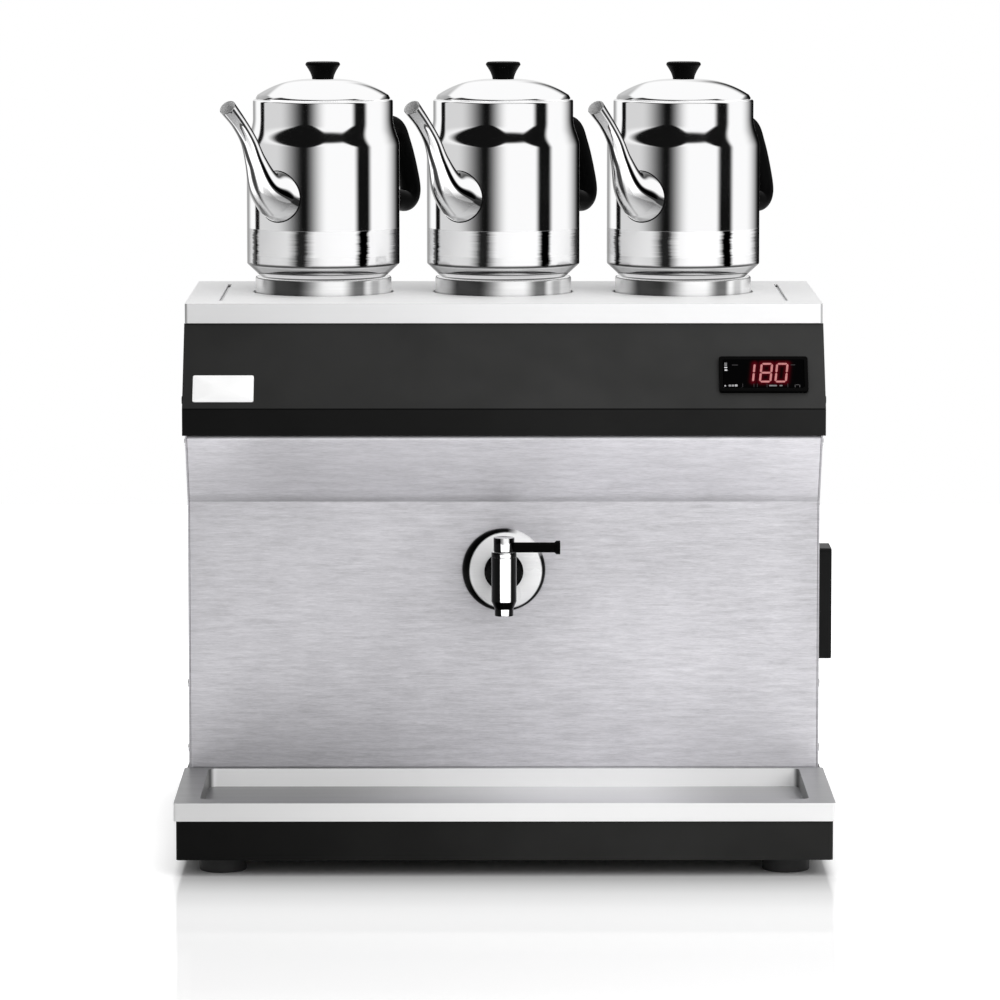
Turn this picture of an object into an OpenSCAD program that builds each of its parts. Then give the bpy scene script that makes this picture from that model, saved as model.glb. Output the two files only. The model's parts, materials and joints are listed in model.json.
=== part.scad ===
// Counter-top tea boiler with three lift-off teapots, a tap and a drip tray.
// Front faces -Y, +Z is up, and the floor under the feet is z = 0.

/* [Body] */
// Width across the side panels
body_w = 551; // [520:1:620]
// Depth from the front panel to the back of the rear panel
body_d = 266; // [256:1:310]
// Height of the upright part of the front panel
front_h = 235.5; // [220:0.5:290]
// Height of the panel that slopes back in under the fascia
lower_slope_h = 62.5; // [45:0.5:80]
// Height of the upright strip under the sloped fascia
strip_h = 23; // [14:0.5:36]
// Height of the sloped fascia
fascia_h = 70.5; // [60:0.5:95]
// Height of the lip turned down around the top plate
plate_lip_h = 17; // [10:0.5:19]
// How far the control head stands out in front of the front panel
head_out = 48; // [40:1:60]
// Thickness of the steel sheet
sheet_t = 1.5; // [1:0.1:2]
// Thickness of the black fascia
fascia_t = 2; // [1.5:0.1:3]
// Gap between panels that meet
panel_gap = 0.3; // [0.1:0.1:0.6]
// Width of the flanges that the panels are screwed through
flange_w = 16; // [12:1:20]
// Outer radius of the panel bends
bend_r = 3; // [2.6:0.1:5]

/* [Base] */
// Diameter of a foot
foot_d = 40; // [30:1:46]
// Height of a foot
foot_h = 14; // [10:1:25]
// Diameter of a foot's stud
stud_d = 8; // [6:1:10]
// Distance from the edge of the base to a foot's centre
foot_inset = 38; // [30:1:60]
// Height of the black base
plinth_h = 47.5; // [40:0.5:70]
// How far the base stands out beyond each side panel
plinth_over = 2; // [0.5:0.5:4]
// Thickness of the base sheet
plinth_t = 2; // [1.5:0.1:3]
// Width of the flange turned in under the base
plinth_flange = 70; // [62:1:90]

/* [Drip tray] */
// Depth of the tray in front of the body
tray_d = 197; // [160:1:230]
// Width of the flat rim at the front and sides
tray_rim = 21.5; // [15:0.5:35]
// Width of the flat rim at the back
tray_back_rim = 7; // [5:0.5:20]
// Depth of the recess
tray_deep = 16; // [10:0.5:25]
// Height of the lip turned down over the base
tray_lip = 15.7; // [10:0.1:25]
// Clearance between the tray and the base or body
tray_gap = 0.5; // [0.3:0.1:1]
// Corner radius of the recess
tray_corner = 8; // [3:0.5:15]

/* [Top plate] */
// Width of each drain slot
slot_w = 3; // [2:0.5:6]
// Length of each drain slot
slot_l = 195; // [120:1:220]
// Distance from the plate's end to a drain slot
slot_inset = 30; // [20:1:40]
// Clearance between the plate and a pot collar
collar_gap = 2.1; // [0.5:0.1:4]

/* [Pots] */
// Distance between pot axes
pot_pitch = 160.4; // [155:0.1:175]
// Distance from the front panel to the pot axes
pot_back = 146; // [135:1:150]
// Diameter of the pot's lower body
pot_d = 136; // [120:0.5:145]
// Diameter of the pot's neck
neck_d = 124.6; // [116:0.1:128]
// Outer diameter of the flat ring that the pot stands on
seat_d = 110; // [106:0.5:114]
// Diameter of the pot's bottom, which drops into the collar
spigot_d = 102; // [90:0.5:104]
// Depth that the bottom drops into the collar
spigot_h = 10; // [5:0.5:12]
// Height of the sloped band above the seat
chamfer_h = 12.2; // [8:0.1:20]
// Height of the straight lower body
barrel_h = 105.2; // [95:0.1:130]
// Height of the shoulder between body and neck
shoulder_h = 24; // [18:0.5:35]
// Height of the neck
neck_h = 16.5; // [12:0.5:30]
// Wall of the pot, its spout and its lid
pot_wall = 0.9; // [0.6:0.1:1.2]
// Width of the rim turned in at the mouth
mouth_rim = 5.2; // [4.5:0.1:7]
// Height of a collar above the top plate
collar_rise = 13.2; // [10:0.1:20]
// Outer diameter of a collar
collar_d = 121.2; // [116:0.1:130]
// Wall of a collar
collar_wall = 2; // [1.5:0.1:3]

/* [Spout] */
// Angle from the front to the spout
spout_turn = 35; // [0:1:60]
// Reach of the spout from the pot's side to its tip
spout_reach = 71.5; // [60:0.5:80]
// Rise of the spout from its root to its tip
spout_rise = 84; // [75:0.5:90]
// Height of the spout's root above the seat
spout_root = 71.6; // [60:0.1:78]
// Diameter of the spout's tip
spout_tip_d = 15; // [12:0.1:17]

/* [Lid] */
// Height of the upright band at the lid's edge
lid_band = 4; // [3:0.1:8]
// Rise of the lid's dome
lid_dome = 13.9; // [8:0.1:20]
// How far the lid reaches down into the mouth
lid_plug = 8; // [5:0.5:12]
// Clearance of the lid in the mouth
lid_gap = 0.4; // [0.3:0.1:1]
// Diameter of the knob's top
knob_d = 30.8; // [24:0.1:40]
// Diameter of the knob's foot
knob_foot_d = 19; // [14:0.1:22]
// Height of the knob
knob_h = 15.4; // [12:0.1:25]

/* [Handle] */
// Reach of the handle from the pot's side at its widest
handle_reach = 65; // [58:0.5:75]
// Height between the middles of the handle's two arms
handle_h = 69; // [62:0.5:80]
// Height of the lower arm above the seat
handle_z = 63; // [55:0.5:70]
// Thickness of the grip
grip_t = 19; // [16:0.5:21]
// Length of the metal ferrule between the pot and the handle
ferrule_l = 4; // [2:0.5:8]

/* [Tap] */
// Height of the tap's axis above the base deck
tap_h = 176; // [140:1:190]
// Distance from the front panel to the tap's upright axis
tap_out = 50; // [44:1:70]
// Diameter of the domed cover disc
escutcheon_d = 72.6; // [60:0.1:90]
// Height of the domed cover disc
escutcheon_h = 12; // [8:0.5:16]
// Diameter of the ring in front of the cover disc
tap_ring_d = 34; // [30:0.5:40]
// Diameter of the threaded tail
tail_d = 20.9; // [18:0.1:24]
// Diameter of the upright barrel
barrel_d = 21.7; // [19:0.1:26]
// Height of the upright barrel
barrel_len = 43; // [36:0.5:55]
// Height of the tapered nozzle
nozzle_h = 12.7; // [8:0.1:20]
// Diameter of the nozzle's end
nozzle_d = 15.9; // [13:0.1:18]
// Diameter of the turning plug
plug_d = 13; // [12:0.1:14]
// Clearance around the turning plug and its spindle
plug_gap = 0.05; // [0.02:0.01:0.1]
// Diameter of the lever's hub
lever_hub_d = 18; // [15:0.5:22]
// Height of the lever's hub
lever_hub_h = 12.3; // [11:0.1:18]
// Diameter of the lever rod
lever_d = 8.4; // [6:0.1:9]
// Reach of the lever from the tap's axis
lever_reach = 48.6; // [35:0.1:70]

/* [Controls] */
// Width of the thermostat's bezel
controller_w = 77; // [70:0.5:90]
// Height of the thermostat's bezel
controller_h = 35; // [30:0.5:40]
// Depth of the thermostat's case behind the fascia
controller_deep = 50; // [40:1:54]
// How far the bezel stands proud of the fascia
bezel_t = 4; // [2:0.5:8]
// Distance from the body's right side to the middle of the thermostat
controller_side = 51; // [47:0.5:110]
// Distance down the slope from the fascia's top to the thermostat's middle
controller_down = 53; // [45:0.5:58]

/* [Boiler] */
// Gap between each side panel and the tank
tank_side_gap = 18; // [16:0.5:25]
// Gap between the front panel's face and the tank
tank_front_gap = 30; // [28:0.5:34]
// Gap between the tank and the back of the rear panel
tank_rear_gap = 16; // [14:0.5:20]
// Height of the tank above the base deck
tank_lift = 88.5; // [80:0.5:100]
// Gap between the top plate and the tank's lid
tank_lid_gap = 21; // [20:0.5:30]
// Wall of the tank
tank_wall = 1.5; // [1:0.1:2]
// Width of the flange around the tank's mouth
tank_flange = 8; // [6:0.5:10]
// Diameter of the water inlet
inlet_d = 20.9; // [18:0.1:26]
// How far the water inlet stands out behind the rear panel
inlet_reach = 20; // [18:0.5:30]
// Bore of the cable gland
gland_bore = 11; // [8:0.5:12]
// Diameter of a heater's threaded neck
heater_neck_d = 24; // [22:0.5:26]
// Length of a heater loop inside the tank
heater_len = 340; // [200:1:400]
// Diameter of a heater tube
heater_tube_d = 8.5; // [7:0.1:9]
// Height of the heater cover
cover_h = 98; // [90:1:120]
// Depth of the heater cover from front to back
cover_w = 45; // [44:1:60]
// How far the heater cover stands out from the side panel
cover_out = 13; // [12:0.5:14]

/* [Fasteners] */
// Diameter of a case screw's head
screw_head_d = 7; // [5:0.1:9]
// Height of a case screw's head
screw_head_h = 1.2; // [0.8:0.1:1.6]
// Diameter of a case screw's shank
screw_d = 4; // [3:0.1:5]

/* [Hidden] */

$fn = 64;
// Straight steps in a rounded bend, along a swept piece between two of its points, and around it
bend_steps = 5;
sweep_steps = 3;
sweep_sides = 16;
// Length by which a cut reaches past the face that it opens
past = 1;

// Places from front to back. The overall depth is centred on the origin.
front_y = (tray_d - body_d - inlet_reach) / 2;
rear_y = front_y + body_d;
tray_y = front_y - tray_d;

// Heights
deck_z = foot_h + plinth_h;
bend_z = deck_z + front_h;
strip_z = bend_z + lower_slope_h;
slope_z = strip_z + strip_h;
lip_z = slope_z + fascia_h;
plate_z = lip_z + plate_lip_h;
rim_z = deck_z + sheet_t;

// Half widths
body_half = body_w / 2;
inner_half = body_half - sheet_t;
panel_half = inner_half - panel_gap;
plate_half = body_half + panel_gap + sheet_t;
fascia_half = body_half + panel_gap + fascia_t;
plinth_half = body_half + plinth_over;
tray_half = plinth_half + tray_gap + sheet_t;
plinth_y = tray_y + sheet_t + tray_gap;

// Fascia outline from its top edge to its foot, and the line just behind its sheet
fascia_line = [
    [front_y + sheet_t + panel_gap, lip_z],
    [front_y - head_out, slope_z],
    [front_y - head_out, strip_z]];
behind_fascia = shifted(fascia_line, fascia_t + panel_gap);
fascia_tilt = atan2(fascia_line[0].y - fascia_line[1].y, fascia_line[0].x - fascia_line[1].x);
fascia_flange_h = 8;
cheek_back = 4;

// Tank
tank_half = inner_half - tank_side_gap;
tank_y = front_y + tank_front_gap;
tank_back_y = rear_y - tank_rear_gap;
tank_z = deck_z + tank_lift;
lid_top_z = plate_z - tank_lid_gap;
tank_top_z = lid_top_z - tank_wall;

// Collars and pots
seat_z = plate_z + collar_rise;
pot_y = front_y + pot_back;
pot_round = 1.8;
seat_gap = 0.4;
collar_bore = spigot_d + 2 * (pot_round + seat_gap);
pot_r = pot_d / 2;
neck_r = neck_d / 2;
shoulder_z = chamfer_h + barrel_h;
mouth_z = shoulder_z + shoulder_h + neck_h;
lid_edge_r = neck_r - 2.5;
lid_round = pot_wall + 0.2;
lid_plug_r = neck_r - mouth_rim - lid_round - lid_gap;
lid_top = mouth_z + lid_band + lid_dome;
spout_angle = -90 - spout_turn;
handle_angle = spout_angle + 180;

// Tap
tap_y = front_y - tap_out;
tap_z = deck_z + tap_h;
barrel_top = tap_z + barrel_len / 2;
barrel_low = tap_z - barrel_len / 2;
tail_end = tank_y + tank_wall + 14;
tail_hole_d = tail_d + 0.4;
shoulder_d = tail_d + 7;
gasket_t = 2;
tap_ring_t = 5;
spindle_d = 8;
gland_nut_h = 4.5;
gland_spigot = 5;
plug_floor = 6;
hub_crown = 3;
lever_run = 0.3;
lever_z = barrel_top + lever_run + lever_d / 2 + 0.5;
waterway_d = 10;

// Heater and its cover
heater_y = tank_y + heater_neck_d + 5;
cover_z = tank_z + 52.5;
heater_spread = 44;
heater_flange_d = heater_neck_d + 10;
heater_nut_w = heater_neck_d + 8;
heater_leg = heater_neck_d * 0.29;
heater_terminal_d = 4;

// Rear fittings, at the same distance from the two sides
rear_fitting_side = 85.5;
inlet_x = -body_half + rear_fitting_side;
inlet_z = deck_z + 140;
gland_x = body_half - rear_fitting_side;
gland_z = deck_z + 36;
gland_thread_d = gland_bore + 9;
vent_w = 5;
vent_l = 44;
vent_step = 13;
vent_count = 8;

// Electrical pieces on the deck
rail_l = 150;
rail_w = 35;
rail_lip = 5;
rail_h = 7.5;
rail_t = 1;
rail_y = front_y + body_d * 0.56;
contactor_size = [45, 75, 52];
block_size = [62, 24, 18];

// Sensors on the front wall of the tank
probe_x = tank_half * 0.59;
probe_d = 6;
probe_thread_d = 12;
cutout_x = tank_half * 0.8;
sensor_z = tank_z + 120;

// Front panel corners from the top, as [y, z]
panel_top = [front_y - head_out + fascia_t + panel_gap, strip_z];
panel_bend = [front_y, bend_z];
panel_foot = [front_y, deck_z];

// Screw places on each side, as [y, z]
slope_screw = panel_top + (panel_bend - panel_top) * 0.2 + left_of(panel_top, panel_bend) * flange_w * 0.55;
side_screw_places = [slope_screw, panel_foot + [flange_w * 0.55, 75], panel_foot + [flange_w * 0.55, 18]];
fascia_screw_place = [front_y - 26, slope_z + 6];
plinth_screw_place = [tray_y + 45, foot_h + 8];
rear_screw_heights = [deck_z + 30, deck_z + 190, deck_z + 350];
hole_gap = 0.2;
screw_tip = 3;

function unit(v) = v / norm(v);
function left_of(a, b) = let (d = unit(b - a)) [-d.y, d.x];
function reversed(p) = [for (i = [len(p) - 1:-1:0]) p[i]];
function turn_between(a, b) = let (d = b - a) d > 180 ? d - 360 : d < -180 ? d + 360 : d;

// Arc of radius r that replaces the corner b between a and c
function corner(a, b, c, r) =
    let (
        u = unit(a - b),
        w = unit(c - b),
        half = acos(u * w) / 2,
        middle = b + unit(u + w) * r / sin(half),
        s = b + u * r / tan(half) - middle,
        e = b + w * r / tan(half) - middle,
        start = atan2(s.y, s.x),
        turn = turn_between(start, atan2(e.y, e.x)))
    [for (i = [0:bend_steps])
        let (angle = start + turn * i / bend_steps)
        middle + r * [cos(angle), sin(angle)]];

// Path with every inner corner rounded
function bent(p, r) =
    concat([p[0]], [for (i = [1:len(p) - 2]) each corner(p[i - 1], p[i], p[i + 1], r)], [p[len(p) - 1]]);

// Path moved t to its left, with mitred corners
function shifted(p, t) =
    [for (i = [0:len(p) - 1])
        let (
            n0 = left_of(p[max(i - 1, 0)], p[max(i, 1)]),
            n1 = left_of(p[min(i, len(p) - 2)], p[min(i + 1, len(p) - 1)]),
            m = n0 + n1)
        p[i] + m * 2 * t / (m * m)];

// Closed outline of a sheet of thickness t on the left of a path
function sheet(p, t) = concat(p, reversed(shifted(p, t)));

// Smooth curve through the points p, with sweep_steps steps between neighbours
function spline(p) =
    concat(
        [for (i = [0:len(p) - 2])
            let (
                a = i == 0 ? 2 * p[0] - p[1] : p[i - 1],
                b = p[i],
                c = p[i + 1],
                d = i == len(p) - 2 ? 2 * c - b : p[i + 2])
            for (k = [0:sweep_steps - 1])
                let (t = k / sweep_steps)
                (2 * b + (c - a) * t + (2 * a - 5 * b + 4 * c - d) * t * t
                    + (3 * b - a - 3 * c + d) * t * t * t) / 2],
        [p[len(p) - 1]]);

// Rings around a curve of stations [x, z, half height, half width] that lies in the XZ plane
function rings(curve) =
    [for (i = [0:len(curve) - 1])
        let (
            s = curve[i],
            ahead = curve[min(i + 1, len(curve) - 1)],
            behind = curve[max(i - 1, 0)],
            n = left_of([behind[0], behind[1]], [ahead[0], ahead[1]]))
        [for (k = [0:sweep_sides - 1])
            let (turn = 360 * k / sweep_sides, h = s[2] * cos(turn), w = s[3] * sin(turn))
            [s[0] + n.x * h, w, s[1] + n.y * h]]];

// Faces between ring a and ring b
function between(a, b) =
    [for (k = [0:sweep_sides - 1])
        let (j = (k + 1) % sweep_sides)
        each [[a * sweep_sides + k, a * sweep_sides + j, b * sweep_sides + j],
            [a * sweep_sides + k, b * sweep_sides + j, b * sweep_sides + k]]];

// Solid swept through the rings
module swept_bar(curve) {
    r = rings(curve);
    last = len(r) - 1;
    sides = [for (i = [0:last - 1]) each between(i, i + 1)];
    first_cap = [for (k = [sweep_sides - 1:-1:0]) k];
    last_cap = [for (k = [0:sweep_sides - 1]) last * sweep_sides + k];
    polyhedron([for (ring = r) each ring], concat(sides, [first_cap, last_cap]));
}

// Tube swept through the rings, with a wall of thickness t and both ends open
module swept_tube(curve, t) {
    inner = [for (s = curve) [s[0], s[1], s[2] - t, s[3] - t]];
    r = concat(rings(curve), reversed(rings(inner)));
    last = len(r) - 1;
    sides = [for (i = [0:last]) each between(i, (i + 1) % (last + 1))];
    polyhedron([for (ring = r) each ring], sides);
}

// Rectangle with round corners, centred
module rounded(w, d, r) {
    square([w - 2 * r, d], center = true);
    square([w, d - 2 * r], center = true);
    for (x = [-1, 1], y = [-1, 1])
        translate([x * (w / 2 - r), y * (d / 2 - r)]) circle(r);
}

// Upright block over a round-cornered rectangle between two opposite corners
module block(low, high, r) {
    translate([(low.x + high.x) / 2, (low.y + high.y) / 2, low.z])
        linear_extrude(high.z - low.z) rounded(high.x - low.x, high.y - low.y, r);
}

module box(low, high) {
    translate(low) cube(high - low);
}

// Outline in the YZ plane carried across the body from x0 to x1
module across(x0, x1) {
    translate([x0, 0, 0]) rotate([90, 0, 90]) linear_extrude(x1 - x0) children();
}

// Stands a turned shape on the plane y, with its axis pointing to the front
module facing_front(x, y, z) {
    translate([x, y, z]) rotate([90, 0, 0]) children();
}

// Stands a turned shape on the plane y, with its axis pointing to the rear
module facing_rear(x, y, z) {
    translate([x, y, z]) rotate([-90, 0, 0]) children();
}

// Stands a turned shape on the side at x, with its axis pointing out to that side
module facing_side(side, x, y, z) {
    translate([side * x, y, z]) rotate([0, side * 90, 0]) children();
}

// Ring between two diameters
module ring(d, bore, h) {
    difference() {
        cylinder(d = d, h = h);
        translate([0, 0, -past]) cylinder(d = bore, h = h + 2 * past);
    }
}

// Six-sided nut across its flats, with a bore
module hex_nut(flats, bore, h) {
    difference() {
        cylinder(d = flats / cos(30), h = h, $fn = 6);
        translate([0, 0, -past]) cylinder(d = bore, h = h + 2 * past);
    }
}

// Pan head on the local plane z = 0 with its shank below it
module screw(shank_l) {
    crown = screw_head_h / 3;
    rotate_extrude()
        polygon([[0, -shank_l], [screw_d / 2, -shank_l], [screw_d / 2, 0], [screw_head_d / 2, 0],
            [screw_head_d / 2, screw_head_h - crown], [screw_head_d / 2 - crown, screw_head_h],
            [0, screw_head_h]]);
}

// Holes that the shanks of the screws pass through, on one side
module shank_holes(side, places) {
    for (p = places)
        facing_side(side, body_half - flange_w, p[0], p[1])
            cylinder(d = screw_d + 2 * hole_gap, h = 2 * flange_w);
}

// Base and feet

foot_places = [
    for (x = [-1, 1], y = [plinth_y + foot_inset, rear_y - foot_inset]) [x * (plinth_half - foot_inset), y]];

module base_plinth() {
    recess_half = tray_half - tray_rim + sheet_t + tray_gap;
    color([0.1, 0.1, 0.1])
    difference() {
        block([-plinth_half, plinth_y, foot_h], [plinth_half, rear_y, deck_z], bend_r);
        block([-plinth_half + plinth_t, plinth_y + plinth_t, foot_h + plinth_t],
            [plinth_half - plinth_t, rear_y - plinth_t, deck_z - plinth_t], bend_r - plinth_t / 2);
        box([-plinth_half + plinth_flange, plinth_y + plinth_flange, foot_h - past],
            [plinth_half - plinth_flange, rear_y - plinth_flange, foot_h + plinth_t + past]);
        box([-recess_half, tray_y + tray_rim - sheet_t - tray_gap, deck_z - plinth_t - past],
            [recess_half, front_y - tray_back_rim + sheet_t + tray_gap, deck_z + past]);
        for (p = foot_places)
            translate([p.x, p.y, foot_h - past]) cylinder(d = stud_d + 2 * hole_gap, h = plinth_t + 2 * past);
        for (side = [-1, 1])
            facing_side(side, plinth_half - plinth_t - past, plinth_screw_place[0], plinth_screw_place[1])
                cylinder(d = screw_d + 2 * hole_gap, h = plinth_t + 2 * past);
    }
}

module feet() {
    waist = foot_d * 0.44;
    color([0.07, 0.07, 0.07])
    for (p = foot_places)
        translate([p.x, p.y, 0])
            difference() {
                rotate_extrude()
                    polygon([[0, 0], [waist, 0], [foot_d / 2, foot_h * 0.35], [foot_d / 2, foot_h * 0.8],
                        [foot_d / 2 - foot_h * 0.2, foot_h], [0, foot_h]]);
                translate([0, 0, foot_h * 0.4]) cylinder(d = stud_d, h = foot_h);
            }
}

module foot_studs() {
    nut_h = 6;
    color([0.7, 0.7, 0.72])
    for (p = foot_places)
        translate([p.x, p.y, foot_h * 0.4]) {
            cylinder(d = stud_d, h = foot_h * 0.6 + plinth_t + nut_h + 3);
            translate([0, 0, foot_h * 0.6 + plinth_t]) cylinder(d = stud_d * 1.9, h = nut_h, $fn = 6);
        }
}

// Drip tray

module drip_tray() {
    back_y = front_y - tray_gap;
    recess_half = tray_half - tray_rim;
    color([0.8, 0.8, 0.82])
    difference() {
        union() {
            difference() {
                block([-tray_half, tray_y, rim_z - tray_lip], [tray_half, back_y, rim_z], bend_r);
                box([-tray_half + sheet_t, tray_y + sheet_t, rim_z - tray_lip - past],
                    [tray_half - sheet_t, back_y + past, rim_z - sheet_t]);
            }
            block([-recess_half - sheet_t, tray_y + tray_rim - sheet_t, rim_z - tray_deep - sheet_t],
                [recess_half + sheet_t, front_y - tray_back_rim + sheet_t, rim_z], tray_corner + sheet_t);
        }
        block([-recess_half, tray_y + tray_rim, rim_z - tray_deep],
            [recess_half, front_y - tray_back_rim, rim_z + past], tray_corner);
    }
}

// Panels

module front_panel() {
    inward = [flange_w, 0];
    line = [panel_top + inward, panel_top, panel_bend, panel_foot, panel_foot + inward];
    flange_top = panel_top + (panel_bend - panel_top) * 0.08;
    color([0.78, 0.78, 0.8])
    difference() {
        union() {
            across(-panel_half, panel_half) polygon(sheet(bent(line, bend_r), sheet_t));
            for (side = [-1, 1])
                across(side > 0 ? panel_half - sheet_t : -panel_half,
                    side > 0 ? panel_half : -panel_half + sheet_t)
                    polygon(sheet(bent([flange_top, panel_bend, panel_foot], bend_r), flange_w));
        }
        facing_front(0, front_y + flange_w, tap_z) cylinder(d = shoulder_d + 2, h = 2 * flange_w);
        for (side = [-1, 1]) shank_holes(side, side_screw_places);
    }
}

module side_outline() {
    polygon([panel_foot, panel_bend, panel_top, behind_fascia[1], behind_fascia[0],
        [behind_fascia[0].x, plate_z - sheet_t], [rear_y, plate_z - sheet_t], [rear_y, deck_z]]);
}

module side_panel(side) {
    near = side > 0 ? inner_half : -body_half;
    flange_low = side > 0 ? inner_half - flange_w : -body_half;
    flange_high = side > 0 ? body_half : -inner_half + flange_w;
    difference() {
        union() {
            across(near, near + sheet_t) side_outline();
            box([flange_low, front_y + flange_w + 2, deck_z],
                [flange_high, rear_y - sheet_t, deck_z + sheet_t]);
            box([flange_low, rear_y - 2 * sheet_t, deck_z],
                [flange_high, rear_y - sheet_t, plate_z - sheet_t]);
        }
        shank_holes(side, side_screw_places);
        shank_holes(side, [fascia_screw_place]);
        rear_screw_holes();
    }
}

module left_side_panel() {
    color([0.74, 0.74, 0.76]) side_panel(-1);
}

module right_side_panel() {
    color([0.74, 0.74, 0.76])
    difference() {
        side_panel(1);
        facing_side(1, inner_half - past, heater_y, cover_z)
            linear_extrude(sheet_t + 2 * past) rounded(cover_h - 14, cover_w - 8, bend_r);
    }
}

module rear_screw_holes() {
    for (side = [-1, 1], z = rear_screw_heights)
        facing_rear(side * (inner_half - flange_w / 2), rear_y - flange_w, z)
            cylinder(d = screw_d + 2 * hole_gap, h = 2 * flange_w);
}

module rear_panel() {
    color([0.72, 0.72, 0.74])
    difference() {
        box([-panel_half, rear_y - sheet_t, deck_z], [panel_half, rear_y, plate_z - sheet_t]);
        rear_screw_holes();
        facing_rear(inlet_x, rear_y - sheet_t - past, inlet_z)
            cylinder(d = inlet_d + 2, h = sheet_t + 2 * past);
        facing_rear(gland_x, rear_y - sheet_t - past, gland_z)
            cylinder(d = gland_thread_d + 2 * hole_gap, h = sheet_t + 2 * past);
        for (i = [0:vent_count - 1])
            facing_rear((i - (vent_count - 1) / 2) * vent_step, rear_y - sheet_t - past, deck_z + 48)
                linear_extrude(sheet_t + 2 * past) rounded(vent_w, vent_l, vent_w / 2 - 0.01);
    }
}

module top_plate() {
    back_y = rear_y + panel_gap + sheet_t;
    color([0.85, 0.85, 0.87])
    difference() {
        block([-plate_half, front_y, lip_z], [plate_half, back_y, plate_z], bend_r);
        block([-plate_half + sheet_t, front_y + sheet_t, lip_z - past],
            [plate_half - sheet_t, back_y - sheet_t, plate_z - sheet_t], bend_r - sheet_t);
        for (i = [-1:1])
            translate([i * pot_pitch, pot_y, plate_z - plate_lip_h])
                cylinder(d = collar_d + 2 * collar_gap, h = plate_lip_h + past);
        for (side = [-1, 1])
            translate([side * (plate_half - slot_inset), front_y + body_d / 2, plate_z - sheet_t - past])
                linear_extrude(sheet_t + 2 * past) rounded(slot_w, slot_l, slot_w / 2 - 0.01);
    }
}

// Moves a shape onto the slope of the fascia: local X across, local Y up the slope, local Z out of it
module on_fascia(x, down) {
    translate([x, fascia_line[0].x, fascia_line[0].y])
        rotate([fascia_tilt, 0, 0]) translate([0, -down, 0]) children();
}

module on_controller() {
    on_fascia(body_half - controller_side, controller_down) children();
}

controller_cut_w = controller_w - 6;
controller_cut_h = controller_h - 6;

module control_fascia() {
    line = bent(fascia_line, bend_r);
    cheek_y = front_y + cheek_back;
    cheek = concat(line, [[cheek_y, strip_z], [cheek_y, lip_z - cheek_back]]);
    color([0.17, 0.17, 0.17])
    difference() {
        union() {
            across(-fascia_half, fascia_half) polygon(sheet(line, fascia_t));
            for (side = [-1, 1])
                across(side > 0 ? fascia_half - fascia_t : -fascia_half,
                    side > 0 ? fascia_half : -fascia_half + fascia_t)
                    polygon(cheek);
            box([-panel_half, fascia_line[0].x, lip_z - fascia_t / 2],
                [panel_half, fascia_line[0].x + fascia_t, lip_z + fascia_flange_h]);
        }
        on_controller()
            translate([0, 0, -fascia_t - past]) linear_extrude(fascia_t + 2 * past)
                square([controller_cut_w, controller_cut_h], center = true);
        for (side = [-1, 1]) shank_holes(side, [fascia_screw_place]);
    }
}

// Thermostat in the fascia

case_gap = 0.3;
window_w = controller_w - 7;
window_h = controller_h - 7;
window_t = 1.2;

module controller_bezel() {
    color([0.08, 0.08, 0.08])
    on_controller()
        difference() {
            linear_extrude(bezel_t) rounded(controller_w, controller_h, 2.5);
            translate([0, 0, bezel_t - window_t])
                linear_extrude(window_t + past) rounded(window_w, window_h, 1.5);
        }
}

module controller_window() {
    color([0.12, 0.12, 0.13])
    on_controller()
        translate([0, 0, bezel_t - window_t])
            linear_extrude(window_t * 0.8) rounded(window_w - 2 * hole_gap, window_h - 2 * hole_gap, 1.3);
}

module controller_case() {
    color([0.1, 0.1, 0.1])
    on_controller()
        translate([0, 0, -controller_deep]) {
            linear_extrude(controller_deep)
                square([controller_cut_w - 2 * case_gap, controller_cut_h - 2 * case_gap], center = true);
            for (i = [-2:2])
                translate([i * 12, 0, -4]) linear_extrude(4) square([8, 10], center = true);
        }
}

module controller_clips() {
    clip = [2.4, 12, 16];
    color([0.6, 0.6, 0.62])
    on_controller()
        for (side = [-1, 1])
            translate([side * (controller_cut_w / 2 - case_gap + clip.x / 2), 0, -fascia_t - clip.z])
                linear_extrude(clip.z) square([clip.x, clip.y], center = true);
}

// Boiler tank and what is fixed to it

module boiler_tank() {
    color([0.68, 0.68, 0.7])
    difference() {
        union() {
            block([-tank_half, tank_y, tank_z], [tank_half, tank_back_y, tank_top_z], 6);
            block([-tank_half - tank_flange, tank_y - tank_flange, tank_top_z - tank_wall],
                [tank_half + tank_flange, tank_back_y + tank_flange, tank_top_z], 6);
        }
        block([-tank_half + tank_wall, tank_y + tank_wall, tank_z + tank_wall],
            [tank_half - tank_wall, tank_back_y - tank_wall, tank_top_z + past], 6 - tank_wall);
        facing_rear(0, tank_y - past, tap_z) cylinder(d = tail_hole_d, h = tank_wall + 2 * past);
        facing_rear(probe_x, tank_y - past, sensor_z)
            cylinder(d = probe_thread_d + 2 * hole_gap, h = tank_wall + 2 * past);
        facing_rear(inlet_x, tank_back_y - tank_wall - past, inlet_z)
            cylinder(d = inlet_d + 2 * hole_gap, h = tank_wall + 2 * past);
        for (z = heater_heights)
            facing_side(1, tank_half - tank_wall - past, heater_y, z)
                cylinder(d = heater_neck_d + 2 * hole_gap, h = tank_wall + 2 * past);
    }
}

module tank_lid() {
    color([0.7, 0.7, 0.72])
    difference() {
        block([-tank_half - tank_flange, tank_y - tank_flange, tank_top_z],
            [tank_half + tank_flange, tank_back_y + tank_flange, lid_top_z], 6);
        for (i = [-1:1])
            translate([i * pot_pitch, pot_y, tank_top_z - past])
                cylinder(d = collar_bore, h = tank_wall + 2 * past);
    }
}

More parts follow.
